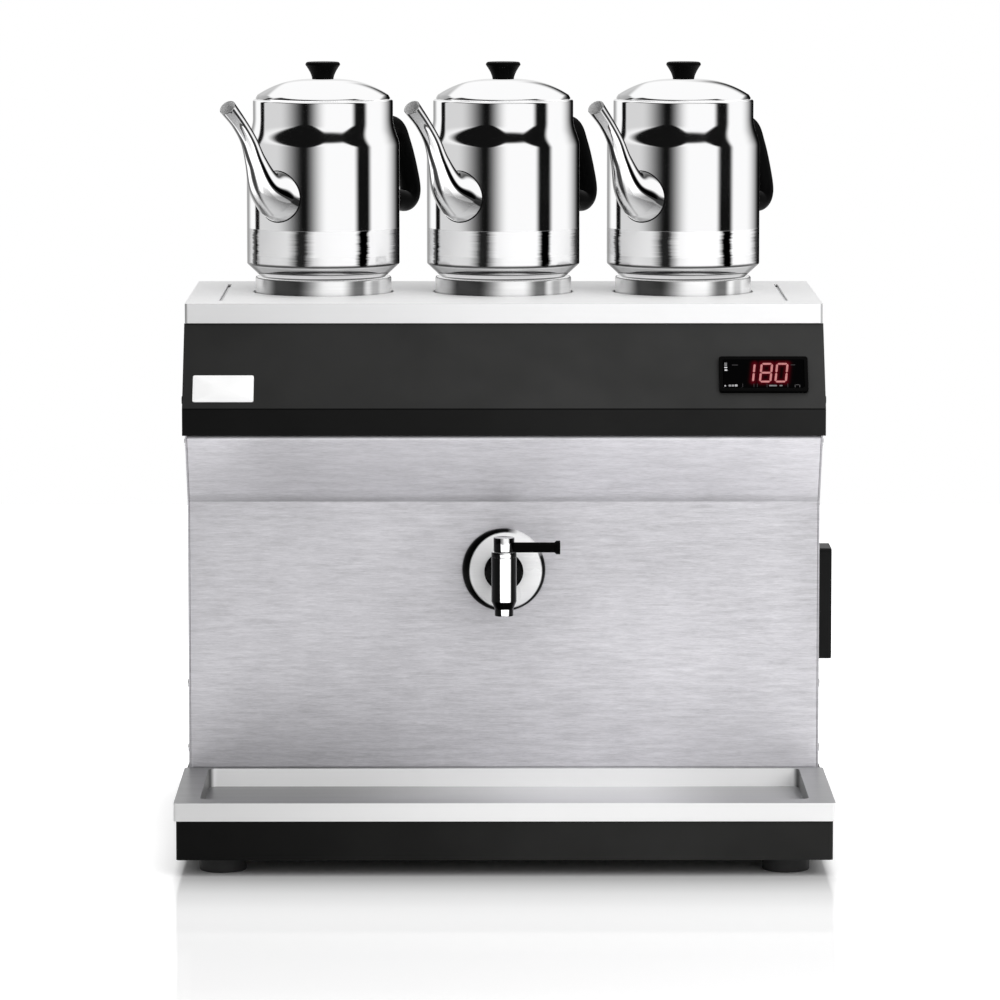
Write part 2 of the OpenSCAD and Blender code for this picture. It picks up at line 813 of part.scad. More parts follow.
module tank_supports() {
    foot = 24;
    t = 2;
    web_x = tank_half * 0.45;
    inset = 20;
    line = [[web_x + foot, deck_z], [web_x, deck_z], [web_x, tank_z - t], [web_x - foot, tank_z - t]];
    color([0.6, 0.6, 0.62])
    for (side = [0, 1])
        translate([0, tank_back_y - inset, 0]) rotate([90, 0, 0])
            linear_extrude(tank_back_y - tank_y - 2 * inset)
                mirror([side, 0]) polygon(sheet(bent(line, bend_r), -t));
}

module pot_collars() {
    r = collar_d / 2;
    inner = r - collar_wall;
    crown = collar_wall * 0.6;
    color([0.82, 0.82, 0.84])
    for (i = [-1:1])
        translate([i * pot_pitch, pot_y, 0])
            rotate_extrude()
                polygon(concat(
                    [[inner, lid_top_z], [r, lid_top_z]],
                    corner([r, lid_top_z], [r, seat_z], [collar_bore / 2, seat_z], crown),
                    [[collar_bore / 2, seat_z], [collar_bore / 2, seat_z - collar_wall],
                        [inner, seat_z - collar_wall]]));
}

heater_heights = [cover_z - heater_spread / 2, cover_z + heater_spread / 2];
heater_neck_end = tank_half - tank_wall - 9;

module heater_plugs() {
    flange_t = 6;
    terminal_l = body_half + cover_out - 8 - (tank_half + gasket_t + flange_t);
    color([0.72, 0.58, 0.3])
    for (z = heater_heights)
        translate([0, heater_y, z]) rotate([0, 90, 0]) {
            translate([0, 0, heater_neck_end])
                cylinder(d = heater_neck_d, h = tank_half + gasket_t - heater_neck_end);
            translate([0, 0, tank_half + gasket_t]) cylinder(d = heater_flange_d, h = flange_t);
            for (y = [-1, 1])
                translate([0, y * heater_leg, tank_half + gasket_t + flange_t])
                    cylinder(d = heater_terminal_d, h = terminal_l);
        }
}

module heater_loops() {
    color([0.45, 0.44, 0.43])
    for (z = heater_heights)
        translate([heater_neck_end, heater_y, z]) {
            for (y = [-heater_leg, heater_leg])
                translate([0, y, 0]) rotate([0, -90, 0]) cylinder(d = heater_tube_d, h = heater_len);
            translate([-heater_len, 0, 0]) rotate([0, 0, 90])
                rotate_extrude(angle = 180) translate([heater_leg, 0]) circle(d = heater_tube_d);
        }
}

module heater_gaskets() {
    color([0.5, 0.2, 0.15])
    for (z = heater_heights)
        facing_side(1, tank_half, heater_y, z) ring(heater_flange_d, heater_neck_d + 2 * hole_gap, gasket_t);
}

module heater_nuts() {
    nut_h = 7;
    color([0.72, 0.58, 0.3])
    for (z = heater_heights)
        facing_side(1, tank_half - tank_wall - nut_h, heater_y, z) hex_nut(heater_nut_w, heater_neck_d, nut_h);
}

module heater_cover() {
    wall = 2;
    color([0.09, 0.09, 0.09])
    facing_side(1, body_half, heater_y, cover_z)
        difference() {
            linear_extrude(cover_out) rounded(cover_h, cover_w, 4);
            translate([0, 0, -past]) linear_extrude(cover_out - wall + past)
                rounded(cover_h - 2 * wall, cover_w - 2 * wall, 4 - wall);
        }
}

module temperature_probe() {
    color([0.75, 0.75, 0.77])
    facing_rear(probe_x, tank_y - 14, sensor_z) {
        cylinder(d = probe_d, h = 74);
        translate([0, 0, 74]) sphere(d = probe_d);
    }
}

module probe_gland() {
    nut_h = 9;
    color([0.72, 0.58, 0.3])
    difference() {
        union() {
            facing_rear(probe_x, tank_y - nut_h, sensor_z) cylinder(d = 17 / cos(30), h = nut_h, $fn = 6);
            facing_rear(probe_x, tank_y - nut_h, sensor_z)
                cylinder(d = probe_thread_d, h = nut_h + tank_wall + 7);
        }
        facing_rear(probe_x, tank_y - nut_h - past, sensor_z)
            cylinder(d = probe_d + 2 * plug_gap, h = nut_h + tank_wall + 7 + 2 * past);
    }
}

module safety_cutout() {
    color([0.85, 0.83, 0.78])
    facing_front(cutout_x, tank_y, sensor_z) {
        cylinder(d = 25, h = 4);
        cylinder(d = 17, h = 11);
        for (x = [-5, 5]) translate([x - 3, -0.5, 11]) cube([6, 1, 7]);
    }
}

// Electrical pieces on the deck

module contactor_rail() {
    edge = rail_w / 2;
    web = edge - rail_lip;
    lip = rail_h - rail_t;
    color([0.7, 0.7, 0.72])
    across(-rail_l / 2, rail_l / 2)
        translate([rail_y, deck_z])
            polygon(sheet([[-edge, lip], [-web, lip], [-web, 0], [web, 0], [web, lip], [edge, lip]], rail_t));
}

module contactor() {
    s = contactor_size;
    low_z = deck_z + rail_h;
    color([0.2, 0.2, 0.21])
    difference() {
        union() {
            box([-s.x / 2, rail_y - s.y / 2, low_z], [s.x / 2, rail_y + s.y / 2, low_z + s.z * 0.6]);
            box([-s.x / 2, rail_y - s.y / 3, low_z], [s.x / 2, rail_y + s.y / 3, low_z + s.z]);
        }
        for (x = [-1:1], y = [-1, 1])
            translate([x * s.x / 3.4, rail_y + y * s.y * 0.42, low_z + s.z * 0.4]) cylinder(d = 7, h = s.z);
    }
}

module terminal_block() {
    s = block_size;
    x0 = gland_x - s.x / 2;
    y0 = rear_y - 70;
    color([0.9, 0.9, 0.88])
    difference() {
        union() {
            box([x0, y0, deck_z], [x0 + s.x, y0 + s.y, deck_z + s.z * 0.6]);
            box([x0, y0 + s.y * 0.3, deck_z], [x0 + s.x, y0 + s.y * 0.7, deck_z + s.z]);
        }
        for (i = [0:4])
            translate([x0 + s.x * (i + 0.5) / 5, y0 + s.y / 2, deck_z + s.z * 0.5]) cylinder(d = 6, h = s.z);
    }
}

module cable_gland() {
    hex_h = 6;
    dome_h = 9;
    inside = 12;
    color([0.12, 0.12, 0.12])
    facing_rear(gland_x, rear_y, gland_z)
        difference() {
            union() {
                translate([0, 0, -inside]) cylinder(d = gland_thread_d, h = inside);
                cylinder(d = (gland_thread_d + 7) / cos(30), h = hex_h, $fn = 6);
                translate([0, 0, hex_h])
                    rotate_extrude()
                        polygon([[0, 0], [gland_thread_d / 2 + 2, 0], [gland_thread_d / 2 + 2, dome_h * 0.5],
                            [gland_thread_d / 2 - 2, dome_h], [0, dome_h]]);
            }
            translate([0, 0, -inside - past]) cylinder(d = gland_bore, h = inside + hex_h + dome_h + 2 * past);
        }
}

module water_inlet() {
    inside = 10;
    inlet_hex = inlet_d + 7;
    inlet_collar = 6;
    start = tank_back_y - tank_wall - inside;
    length = rear_y + inlet_reach - start;
    color([0.72, 0.72, 0.74])
    difference() {
        union() {
            facing_rear(inlet_x, start, inlet_z) cylinder(d = inlet_d, h = length);
            facing_rear(inlet_x, tank_back_y, inlet_z) cylinder(d = inlet_hex / cos(30), h = 9, $fn = 6);
            facing_rear(inlet_x, rear_y, inlet_z) cylinder(d = inlet_hex / cos(30), h = inlet_collar, $fn = 6);
        }
        facing_rear(inlet_x, start - past, inlet_z) cylinder(d = inlet_d - 6, h = length + 2 * past);
    }
}

// Tap

module tap_body() {
    low = barrel_low;
    body_top = barrel_top - gland_nut_h;
    color([0.82, 0.82, 0.84])
    difference() {
        union() {
            facing_rear(0, tap_y, tap_z) cylinder(d = tail_d, h = tail_end - tap_y);
            facing_rear(0, front_y - escutcheon_h - tap_ring_t, tap_z)
                rotate_extrude()
                    polygon([[0, 0], [tap_ring_d / 2 - 2, 0], [tap_ring_d / 2, 2], [tap_ring_d / 2, tap_ring_t],
                        [0, tap_ring_t]]);
            facing_rear(0, tank_y - gasket_t - 7, tap_z) cylinder(d = shoulder_d, h = 7);
            translate([0, tap_y, low]) cylinder(d = barrel_d, h = body_top - low);
            translate([0, tap_y, low - nozzle_h])
                rotate_extrude()
                    polygon([[0, 0], [nozzle_d / 2, 0], [nozzle_d / 2, nozzle_h * 0.35],
                        [barrel_d / 2, nozzle_h], [0, nozzle_h]]);
        }
        translate([0, tap_y, low + plug_floor]) cylinder(d = plug_d, h = barrel_len);
        translate([0, tap_y, low - nozzle_h - past])
            cylinder(d = waterway_d, h = nozzle_h + plug_floor + 2 * past);
        facing_rear(0, tap_y, tap_z) cylinder(d = waterway_d, h = tail_end - tap_y + past);
    }
}

module tap_escutcheon() {
    r = escutcheon_d / 2;
    flat = tap_ring_d / 2 + 1;
    dome = [for (i = [0:6]) let (a = 90 * i / 6) [flat + (r - flat) * cos(a), 2 + (escutcheon_h - 2) * sin(a)]];
    line = concat([[r, 0]], dome, [[tail_d / 2 + hole_gap, escutcheon_h]]);
    color([0.8, 0.8, 0.82])
    facing_front(0, front_y, tap_z) rotate_extrude() polygon(sheet(line, 1));
}

module tap_gland_nut() {
    color([0.8, 0.8, 0.82])
    translate([0, tap_y, barrel_top - gland_nut_h])
        difference() {
            union() {
                cylinder(d = barrel_d, h = gland_nut_h);
                translate([0, 0, -gland_spigot]) cylinder(d = plug_d, h = gland_spigot);
            }
            translate([0, 0, -gland_spigot - past]) cylinder(d = spindle_d + 2 * plug_gap, h = barrel_len);
        }
}

module tap_tail_nut() {
    nut_h = 8;
    color([0.72, 0.58, 0.3])
    facing_rear(0, tank_y + tank_wall + gasket_t, tap_z) hex_nut(tail_d + 8, tail_d, nut_h);
}

module tap_gaskets() {
    color([0.2, 0.2, 0.2])
    for (y = [tank_y - gasket_t, tank_y + tank_wall])
        facing_rear(0, y, tap_z) ring(shoulder_d, tail_hole_d, gasket_t);
}

module tap_plug() {
    low = barrel_low + plug_floor + lever_run;
    top = barrel_top - gland_nut_h - gland_spigot - lever_run;
    spindle_top = barrel_top + lever_run + lever_hub_h - hub_crown;
    color([0.75, 0.6, 0.32])
    translate([0, tap_y, 0])
        difference() {
            union() {
                translate([0, 0, low]) cylinder(d = plug_d - 2 * plug_gap, h = top - low);
                translate([0, 0, top - past]) cylinder(d = spindle_d, h = spindle_top - top + past);
            }
            translate([0, 0, low - past]) cylinder(d = waterway_d - 2, h = tap_z - low + past);
            translate([0, 0, tap_z]) rotate([0, -90, 0]) cylinder(d = waterway_d - 2, h = plug_d);
        }
}

module tap_lever_hub() {
    low = barrel_top + lever_run;
    r = lever_hub_d / 2;
    color([0.82, 0.82, 0.84])
    translate([0, tap_y, 0])
        difference() {
            translate([0, 0, low])
                rotate_extrude()
                    polygon([[0, 0], [r - 0.5, 0], [r, 0.5], [r, lever_hub_h - hub_crown],
                        [r - hub_crown, lever_hub_h], [0, lever_hub_h]]);
            translate([0, 0, low - past]) cylinder(d = spindle_d, h = lever_hub_h - hub_crown + past);
            translate([spindle_d / 2, 0, lever_z]) rotate([0, 90, 0]) cylinder(d = lever_d, h = lever_hub_d);
        }
}

module tap_lever_rod() {
    tip_d = lever_d * 1.45;
    tip_l = 4;
    start = spindle_d / 2 + 0.5;
    color([0.07, 0.07, 0.07])
    translate([start, tap_y, lever_z]) rotate([0, 90, 0])
        rotate_extrude()
            polygon([[0, 0], [lever_d / 2, 0], [lever_d / 2, lever_reach - start - tip_l],
                [tip_d / 2, lever_reach - start - tip_l + 0.8], [tip_d / 2, lever_reach - start - 0.8],
                [tip_d / 2 - 0.8, lever_reach - start], [0, lever_reach - start]]);
}

// Screws

module case_screws() {
    color([0.75, 0.75, 0.77])
    for (side = [-1, 1]) {
        for (p = side_screw_places)
            facing_side(side, body_half, p[0], p[1]) screw(2 * sheet_t + screw_tip);
        for (z = rear_screw_heights)
            facing_rear(side * (inner_half - flange_w / 2), rear_y, z) screw(2 * sheet_t + screw_tip);
    }
}

module black_screws() {
    color([0.1, 0.1, 0.1])
    for (side = [-1, 1]) {
        facing_side(side, fascia_half, fascia_screw_place[0], fascia_screw_place[1])
            screw(fascia_t + panel_gap + sheet_t + screw_tip);
        facing_side(side, plinth_half, plinth_screw_place[0], plinth_screw_place[1])
            screw(plinth_t + screw_tip);
    }
}

// Pots. Each is modelled with its axis on Z and its seat on z = 0.

// Outline of the pot from the middle of its bottom to the top of its neck
function shoulder_r(t) = pot_r - (pot_r - neck_r) * (1 - cos(180 * t)) / 2;
pot_line = concat(
    bent([[0, -spigot_h], [spigot_d / 2, -spigot_h], [spigot_d / 2, 0], [seat_d / 2, 0], [pot_r, chamfer_h],
        [pot_r, shoulder_z - 1]], pot_round),
    [for (i = [0:8]) [shoulder_r(i / 8), shoulder_z + shoulder_h * i / 8]],
    bent([[neck_r, mouth_z - neck_h + 1], [neck_r, mouth_z], [neck_r - mouth_rim, mouth_z]], pot_round));

module on_pot(i) {
    translate([(i - 1) * pot_pitch, pot_y, seat_z]) children();
}

module pot_filled() {
    rotate_extrude() polygon(concat(pot_line, [[0, mouth_z]]));
}

// Middle line of the spout from inside the pot's wall to the tip, as shares of the reach, the rise and the
// tip's diameter
spout_shape = [
    [-0.17, 0.01, 1.57], [0.04, 0.065, 1.4], [0.265, 0.18, 0.99], [0.435, 0.415, 0.64], [0.575, 0.64, 0.49],
    [0.77, 0.83, 0.45], [1, 1, 0.5]];
spout_line = spline([
    for (s = spout_shape)
        [pot_r + spout_reach * s[0], spout_root + spout_rise * s[1], spout_tip_d * s[2], spout_tip_d * s[2]]]);

module pot_body(i) {
    hole_d = 5;
    color([0.8, 0.8, 0.82])
    on_pot(i)
        difference() {
            rotate_extrude() polygon(sheet(pot_line, pot_wall));
            rotate([0, 0, spout_angle]) translate([0, 0, spout_root + 4]) rotate([0, 90, 0]) {
                cylinder(d = hole_d, h = pot_d);
                for (k = [0:5])
                    rotate([0, 0, 60 * k]) translate([1.8 * hole_d, 0, 0]) cylinder(d = hole_d, h = pot_d);
            }
        }
}

module pot_spout(i) {
    color([0.8, 0.8, 0.82])
    on_pot(i)
        difference() {
            rotate([0, 0, spout_angle]) swept_tube(spout_line, pot_wall);
            pot_filled();
        }
}

// Middle line of the handle from its upper arm round the grip to its lower arm
upper_z = handle_z + handle_h;
upper_r = shoulder_r((upper_z - shoulder_z) / shoulder_h);
grip = grip_t / 2;
handle_line = spline([
    [upper_r + ferrule_l, upper_z, grip * 0.85, grip * 0.8],
    [upper_r + ferrule_l + 5, upper_z, grip * 0.88, grip * 0.82],
    [upper_r + ferrule_l + 14, upper_z, grip * 0.9, grip * 0.85],
    [pot_r + handle_reach * 0.6, upper_z - handle_h * 0.045, grip, grip],
    [pot_r + handle_reach * 0.78, upper_z - handle_h * 0.28, grip, grip],
    [pot_r + handle_reach * 0.93, handle_z + handle_h * 0.38, grip, grip],
    [pot_r + handle_reach, handle_z + handle_h * 0.19, grip, grip],
    [pot_r + handle_reach * 0.88, handle_z + handle_h * 0.03, grip, grip],
    [pot_r + handle_reach * 0.66, handle_z, grip, grip],
    [pot_r + ferrule_l + 14, handle_z, grip * 0.95, grip * 0.85],
    [pot_r + ferrule_l, handle_z, grip * 0.85, grip * 0.8]]);

module pot_handle(i) {
    color([0.06, 0.06, 0.06])
    on_pot(i) rotate([0, 0, handle_angle]) swept_bar(handle_line);
}

module handle_ferrules(i) {
    d = grip_t * 0.75;
    root = 8;
    color([0.78, 0.78, 0.8])
    on_pot(i)
        difference() {
            rotate([0, 0, handle_angle])
                for (arm = [[upper_r + ferrule_l, upper_z], [pot_r + ferrule_l, handle_z]])
                    translate([arm[0] - ferrule_l - root, 0, arm[1]]) rotate([0, 90, 0])
                        cylinder(d = d, h = ferrule_l + root);
            pot_filled();
        }
}

module pot_lid(i) {
    dome_low = mouth_z + lid_band;
    flat = knob_foot_d / 2;
    dome = [for (k = [0:12])
        let (s = 1 - k / 12)
        [flat + (lid_edge_r - flat) * s, dome_low + lid_dome * (1 - pow(s, 2.3))]];
    hem = bent([[lid_plug_r, mouth_z - lid_plug], [lid_plug_r, mouth_z], [lid_edge_r, mouth_z],
        [lid_edge_r, dome_low - 0.5]], lid_round);
    color([0.84, 0.84, 0.86])
    on_pot(i) rotate_extrude() polygon(sheet(concat(hem, dome, [[0, lid_top]]), pot_wall));
}

module lid_knob(i) {
    low = knob_foot_d / 2;
    high = knob_d / 2;
    flare_h = knob_h * 0.82;
    color([0.06, 0.06, 0.06])
    on_pot(i) translate([0, 0, lid_top])
        rotate_extrude()
            polygon(concat(
                [[0, 0]],
                [for (k = [0:6]) let (s = k / 6) [low + (high - low) * pow(s, 1.6), flare_h * s]],
                corner([high, flare_h], [high, knob_h], [0, knob_h], knob_h - flare_h - 0.4),
                [[0, knob_h]]));
}

base_plinth();
feet();
foot_studs();
drip_tray();
front_panel();
left_side_panel();
right_side_panel();
rear_panel();
top_plate();
control_fascia();
boiler_tank();
tank_lid();
tank_supports();
pot_collars();
heater_plugs();
heater_loops();
heater_gaskets();
heater_nuts();
heater_cover();
temperature_probe();
probe_gland();
safety_cutout();
contactor();
contactor_rail();
terminal_block();
cable_gland();
water_inlet();
tap_body();
tap_escutcheon();
tap_gland_nut();
tap_tail_nut();
tap_gaskets();
tap_plug();
tap_lever_hub();
tap_lever_rod();
controller_bezel();
controller_window();
controller_case();
controller_clips();
case_screws();
black_screws();
for (i = [0:2]) {
    pot_body(i);
    pot_spout(i);
    pot_handle(i);
    handle_ferrules(i);
    pot_lid(i);
    lid_knob(i);
}
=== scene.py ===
import json
import math
from functools import partial

import bmesh
import bpy
import numpy as np
from bpy.props import FloatProperty, FloatVectorProperty, PointerProperty
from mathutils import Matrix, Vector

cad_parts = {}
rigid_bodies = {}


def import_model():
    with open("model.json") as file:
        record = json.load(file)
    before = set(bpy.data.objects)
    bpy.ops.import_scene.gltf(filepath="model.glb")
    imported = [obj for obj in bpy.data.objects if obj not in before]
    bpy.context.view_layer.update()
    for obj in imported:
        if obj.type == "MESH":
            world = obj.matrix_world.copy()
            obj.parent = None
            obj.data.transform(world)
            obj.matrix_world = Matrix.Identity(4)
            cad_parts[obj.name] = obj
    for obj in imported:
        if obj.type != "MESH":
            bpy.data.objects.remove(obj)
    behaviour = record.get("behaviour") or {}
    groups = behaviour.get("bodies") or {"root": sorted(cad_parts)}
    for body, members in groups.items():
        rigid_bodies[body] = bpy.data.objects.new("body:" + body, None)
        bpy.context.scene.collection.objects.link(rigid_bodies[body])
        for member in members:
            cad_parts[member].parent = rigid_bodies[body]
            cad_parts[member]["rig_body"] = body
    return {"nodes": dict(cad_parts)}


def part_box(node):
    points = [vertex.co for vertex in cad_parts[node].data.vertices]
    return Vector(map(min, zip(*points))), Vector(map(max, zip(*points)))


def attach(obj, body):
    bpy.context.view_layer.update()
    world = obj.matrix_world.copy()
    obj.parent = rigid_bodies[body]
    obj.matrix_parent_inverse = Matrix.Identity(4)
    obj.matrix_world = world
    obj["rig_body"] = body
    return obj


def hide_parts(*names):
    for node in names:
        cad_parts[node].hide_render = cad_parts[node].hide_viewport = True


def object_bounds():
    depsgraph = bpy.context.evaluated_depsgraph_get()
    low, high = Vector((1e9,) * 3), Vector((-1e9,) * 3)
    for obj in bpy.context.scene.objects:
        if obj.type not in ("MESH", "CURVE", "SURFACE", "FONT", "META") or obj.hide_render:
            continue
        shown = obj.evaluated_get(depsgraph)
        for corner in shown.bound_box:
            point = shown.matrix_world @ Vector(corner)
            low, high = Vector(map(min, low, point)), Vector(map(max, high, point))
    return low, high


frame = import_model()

bl_info = {
    "name": "Tea maker with three pots",
    "version": (1, 0, 0),
    "blender": (4, 5, 0),
    "location": "3D View > Sidebar > Tea maker",
    "description": "Dresses the packed tea maker with turned pots, sheet steel, a tap, controls and a stage",
    "category": "Object",
}

CAD_BOX = [list(corner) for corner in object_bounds()]
NODES = frame["nodes"]
POTS = (1, 2, 3)
SEAT_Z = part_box("pot_collars")[1].z


# Sizes and colours that a user would change

def number(text, value, kind=FloatProperty, **settings):
    """Property with its description and its first value."""
    return kind(description=text, default=value, **settings)


length = partial(number, min=0.0, precision=4, subtype="DISTANCE", unit="LENGTH")
angle = partial(number, subtype="ANGLE", unit="ROTATION")
share = partial(number, min=0.0, max=1.0, subtype="FACTOR")
power = partial(number, min=0.0, unit="POWER")
colour = partial(number, kind=FloatVectorProperty, min=0.0, max=1.0, size=3, subtype="COLOR")
point = partial(number, kind=FloatVectorProperty, size=3, subtype="XYZ", unit="LENGTH")


class TeaPotSizes(bpy.types.PropertyGroup):
    """Sizes of a turned teapot, measured from its axis and its seat"""
    body_radius: length("Outer radius of the straight lower body", 0.068)
    neck_radius: length("Outer radius of the neck", 0.0623)
    seat_radius: length("Outer radius of the ring that the pot stands on", 0.055)
    spigot_radius: length("Radius of the bottom that drops into the collar", 0.051)
    spigot_depth: length("How far the bottom drops into the collar", 0.010)
    chamfer_height: length("Height of the sloped band above the seat", 0.0122)
    shoulder_height: length("Height where the shoulder starts", 0.1174)
    shoulder_rise: length("Height of the shoulder", 0.024)
    mouth_height: length("Height of the mouth's rim", 0.1579)
    rim: length("Width of the rim turned in at the mouth", 0.0052)
    wall: length("Thickness of the pot, its spout and its lid", 0.0009)
    rounding: length("Radius of the turned corners", 0.0018)
    band_low: length("Foot of the brushed band", 0.0202)
    band_high: length("Top of the brushed band", 0.0443)


class TeaLidSizes(bpy.types.PropertyGroup):
    """Sizes of a lid and its knob"""
    edge_radius: length("Radius of the lid's edge at the mouth", 0.0605)
    plug_radius: length("Radius of the part that drops into the mouth", 0.0556)
    plug_depth: length("How far the lid reaches down into the mouth", 0.008)
    band: length("Height of the edge", 0.004)
    lean: length("How far the edge leans in over its height", 0.0022)
    dome: length("Rise of the dome above the edge", 0.0139)
    knob_foot: length("Radius of the knob's foot", 0.0095)
    knob_top: length("Radius of the knob's top", 0.0154)
    knob_height: length("Height of the knob", 0.0154)


class TeaArmSizes(bpy.types.PropertyGroup):
    """Sizes of a pot's spout and handle"""
    spout_turn: angle("Angle from the front to the spout", math.radians(35.0))
    spout_reach: length("Reach from the pot's side to the spout's tip", 0.0715)
    spout_rise: length("Rise from the spout's root to its tip", 0.084)
    spout_root: length("Height of the spout's root above the seat", 0.0716)
    spout_tip: length("Diameter of the spout's tip", 0.015)
    handle_reach: length("Reach of the handle from the pot's side", 0.065)
    handle_height: length("Height between the handle's two arms", 0.069)
    handle_low: length("Height of the lower arm above the seat", 0.063)
    grip: length("Thickness of the grip", 0.019)
    ferrule: length("Length of the metal ferrule at each arm", 0.004)


class TeaControlSizes(bpy.types.PropertyGroup):
    """Places on the sloped fascia, and the figures on the display"""
    slope_top: point("Middle of the slope's top edge", (0.0, -0.0427, 0.453))
    slope_tilt: angle("Angle of the fascia's slope above the level", math.radians(54.763))
    figure_height: length("Height of the lit figures", 0.0177)
    figure_width: length("Width of a lit figure between its strokes' middles", 0.0090)
    stroke: length("Width of a lit stroke", 0.0018)
    label_width: length("Width of the bare label plate", 0.0527)
    label_height: length("Height of the bare label plate", 0.0265)
    label_x: number("Place of the label plate across the fascia", -0.2426, subtype="DISTANCE", unit="LENGTH")
    label_down: length("Distance down the slope to the label plate's middle", 0.0660)


class TeaFinishes(bpy.types.PropertyGroup):
    """Colours of the finishes, and the heights on the folded sheets where painted light and painted shade change"""
    panel_bend: length("Height of the front panel's bend", 0.297)
    fascia_bend: length("Height where the fascia's slope meets its lower strip", 0.3825)
    brushed: colour("Front, side and rear panels", (0.655, 0.646, 0.676))
    satin: colour("Top plate", (0.985, 0.985, 0.99))
    tray: colour("Drip tray", (0.78, 0.78, 0.795))
    polished: colour("Pots, lids and spouts", (0.965, 0.965, 0.97))
    turned: colour("Collars under the pots", (0.96, 0.96, 0.965))
    chrome: colour("Tap", (0.95, 0.95, 0.955))
    fascia: colour("Sloped control fascia", (0.030, 0.030, 0.0295))
    plinth: colour("Base and black screws", (0.0206, 0.0206, 0.0200))
    bakelite: colour("Handles, knobs and the tap lever", (0.0022, 0.0022, 0.0022))
    lit: colour("Strokes of the lit figures", (0.57, 0.225, 0.225))
    glow: colour("Glow in the dark glass around the figures", (0.085, 0.0, 0.004))
    label: colour("Bare label plate", (0.97, 0.97, 0.97))


class TeaStage(bpy.types.PropertyGroup):
    """Camera, lamps and floor"""
    eye: point("Place of the camera", (-0.020, -5.2435, 0.8725))
    pitch: angle("Angle at which the camera looks down", math.radians(6.3))
    yaw: angle("Angle by which the camera turns to the right", math.radians(0.184))
    lens: number("Focal length", 216.0, min=10.0, unit="CAMERA")
    key_power: power("Power of the soft overhead lamp", 17.0)
    front_power: power("Power of the soft front lamp", 36.0)
    fill_power: power("Power of the soft side lamp", 3.0)
    room: share("Light that matt surfaces take from the room", 0.50)
    mirror: share("Share of the floor in front that mirrors the object", 0.16)


# Surfaces as arrays

def arc_corner(before, corner, after, radius, steps):
    """Arc that touches both legs of a corner and replaces it: middle + start and end spokes blended by angle."""
    u = (before - corner) / np.linalg.norm(before - corner)
    w = (after - corner) / np.linalg.norm(after - corner)
    half = math.acos(np.clip(u @ w, -1.0, 1.0)) / 2
    middle = corner + (u + w) / np.linalg.norm(u + w) * radius / math.sin(half)
    start = corner + u * radius / math.tan(half) - middle
    end = corner + w * radius / math.tan(half) - middle
    turn = math.pi - 2 * half
    t = np.linspace(0.0, 1.0, steps + 1)[:, None]
    return middle + (np.sin((1 - t) * turn) * start + np.sin(t * turn) * end) / math.sin(turn)


def bent(points, radius, steps=6):
    """Path with an arc in place of every inner corner."""
    p = np.asarray(points, float)
    arcs = [arc_corner(p[i - 1], p[i], p[i + 1], radius, steps) for i in range(1, len(p) - 1)]
    return np.vstack([p[:1], *arcs, p[-1:]])


def walled(line, wall):
    """Sheet outline: the line, then the line moved by the wall to its left, run back to the start."""
    step = np.gradient(line, axis=0)
    step /= np.linalg.norm(step, axis=1, keepdims=True)
    left = np.stack([-step[:, 1], step[:, 0]], axis=1)
    return np.vstack([line, (line + wall * left)[::-1]])


def spline(points, t):
    """Catmull-Rom curve through the points at t from 0 to 1, with its direction, for an array t of any shape."""
    p = np.asarray(points, float)
    p = np.vstack([2 * p[0] - p[1], p, 2 * p[-1] - p[-2]])
    spans = len(p) - 3
    s = np.clip(np.asarray(t, float), 0.0, 1.0) * spans
    i = np.minimum(s.astype(int), spans - 1)
    f = (s - i)[..., None]
    a, b, c, d = p[i], p[i + 1], p[i + 2], p[i + 3]
    square, cube = 2 * a - 5 * b + 4 * c - d, 3 * b - a - 3 * c + d
    place = (2 * b + (c - a) * f + square * f ** 2 + cube * f ** 3) / 2
    way = ((c - a) + 2 * square * f + 3 * cube * f ** 2) / 2
    return place, way


def around(sides):
    """Even angles round a circle."""
    return np.linspace(0.0, 2 * np.pi, sides, endpoint=False)


def turned(profile, sides=160):
    """Grid of a profile (radius, height) carried round Z: (r cos a, r sin a, z)."""
    a = around(sides)
    r, z = profile[:, :1], profile[:, 1:]
    return np.stack([r * np.cos(a), r * np.sin(a), z + 0 * a], axis=-1)


def swept(points, t, round_angle):
    """Grid of a section carried along a curve in the XZ plane: place + height * normal * cos a, width * sin a
    across. Each point is (x, z, half height, half width)."""
    t, round_angle = np.broadcast_arrays(t, round_angle)
    s, way = spline(points, t)
    d = way[..., :2] / np.linalg.norm(way[..., :2], axis=-1, keepdims=True)
    up = s[..., 2] * np.cos(round_angle)
    across = s[..., 3] * np.sin(round_angle)
    return np.stack([s[..., 0] - d[..., 1] * up, across, s[..., 1] + d[..., 0] * up], axis=-1)


def skin(grid, wrap_rows=False, wrap_columns=True):
    """Corners and quads of a grid, with the last row or column joined to the first where asked."""
    rows, columns = grid.shape[:2]
    i = np.arange(rows if wrap_rows else rows - 1)[:, None]
    j = np.arange(columns if wrap_columns else columns - 1)[None, :]
    k, m = (i + 1) % rows, (j + 1) % columns
    quads = np.stack([i * columns + j, i * columns + m, k * columns + m, k * columns + j], axis=-1)
    return grid.reshape(-1, 3), quads.reshape(-1, 4).tolist()


def tiles(outlines, low, high):
    """Flat tiles: each outline at two heights, with its sides, top and bottom."""
    n = outlines.shape[1]
    k = np.arange(n)
    m = (k + 1) % n
    sides = np.stack([k, m, m + n, k + n], axis=-1)
    level = np.ones((n, 1))
    corners, faces = [], []
    for i, outline in enumerate(outlines):
        start = 2 * n * i
        corners += [np.hstack([outline, level * low]), np.hstack([outline, level * high])]
        faces += (sides + start).tolist() + [(k[::-1] + start).tolist(), (k + n + start).tolist()]
    return np.vstack(corners), faces


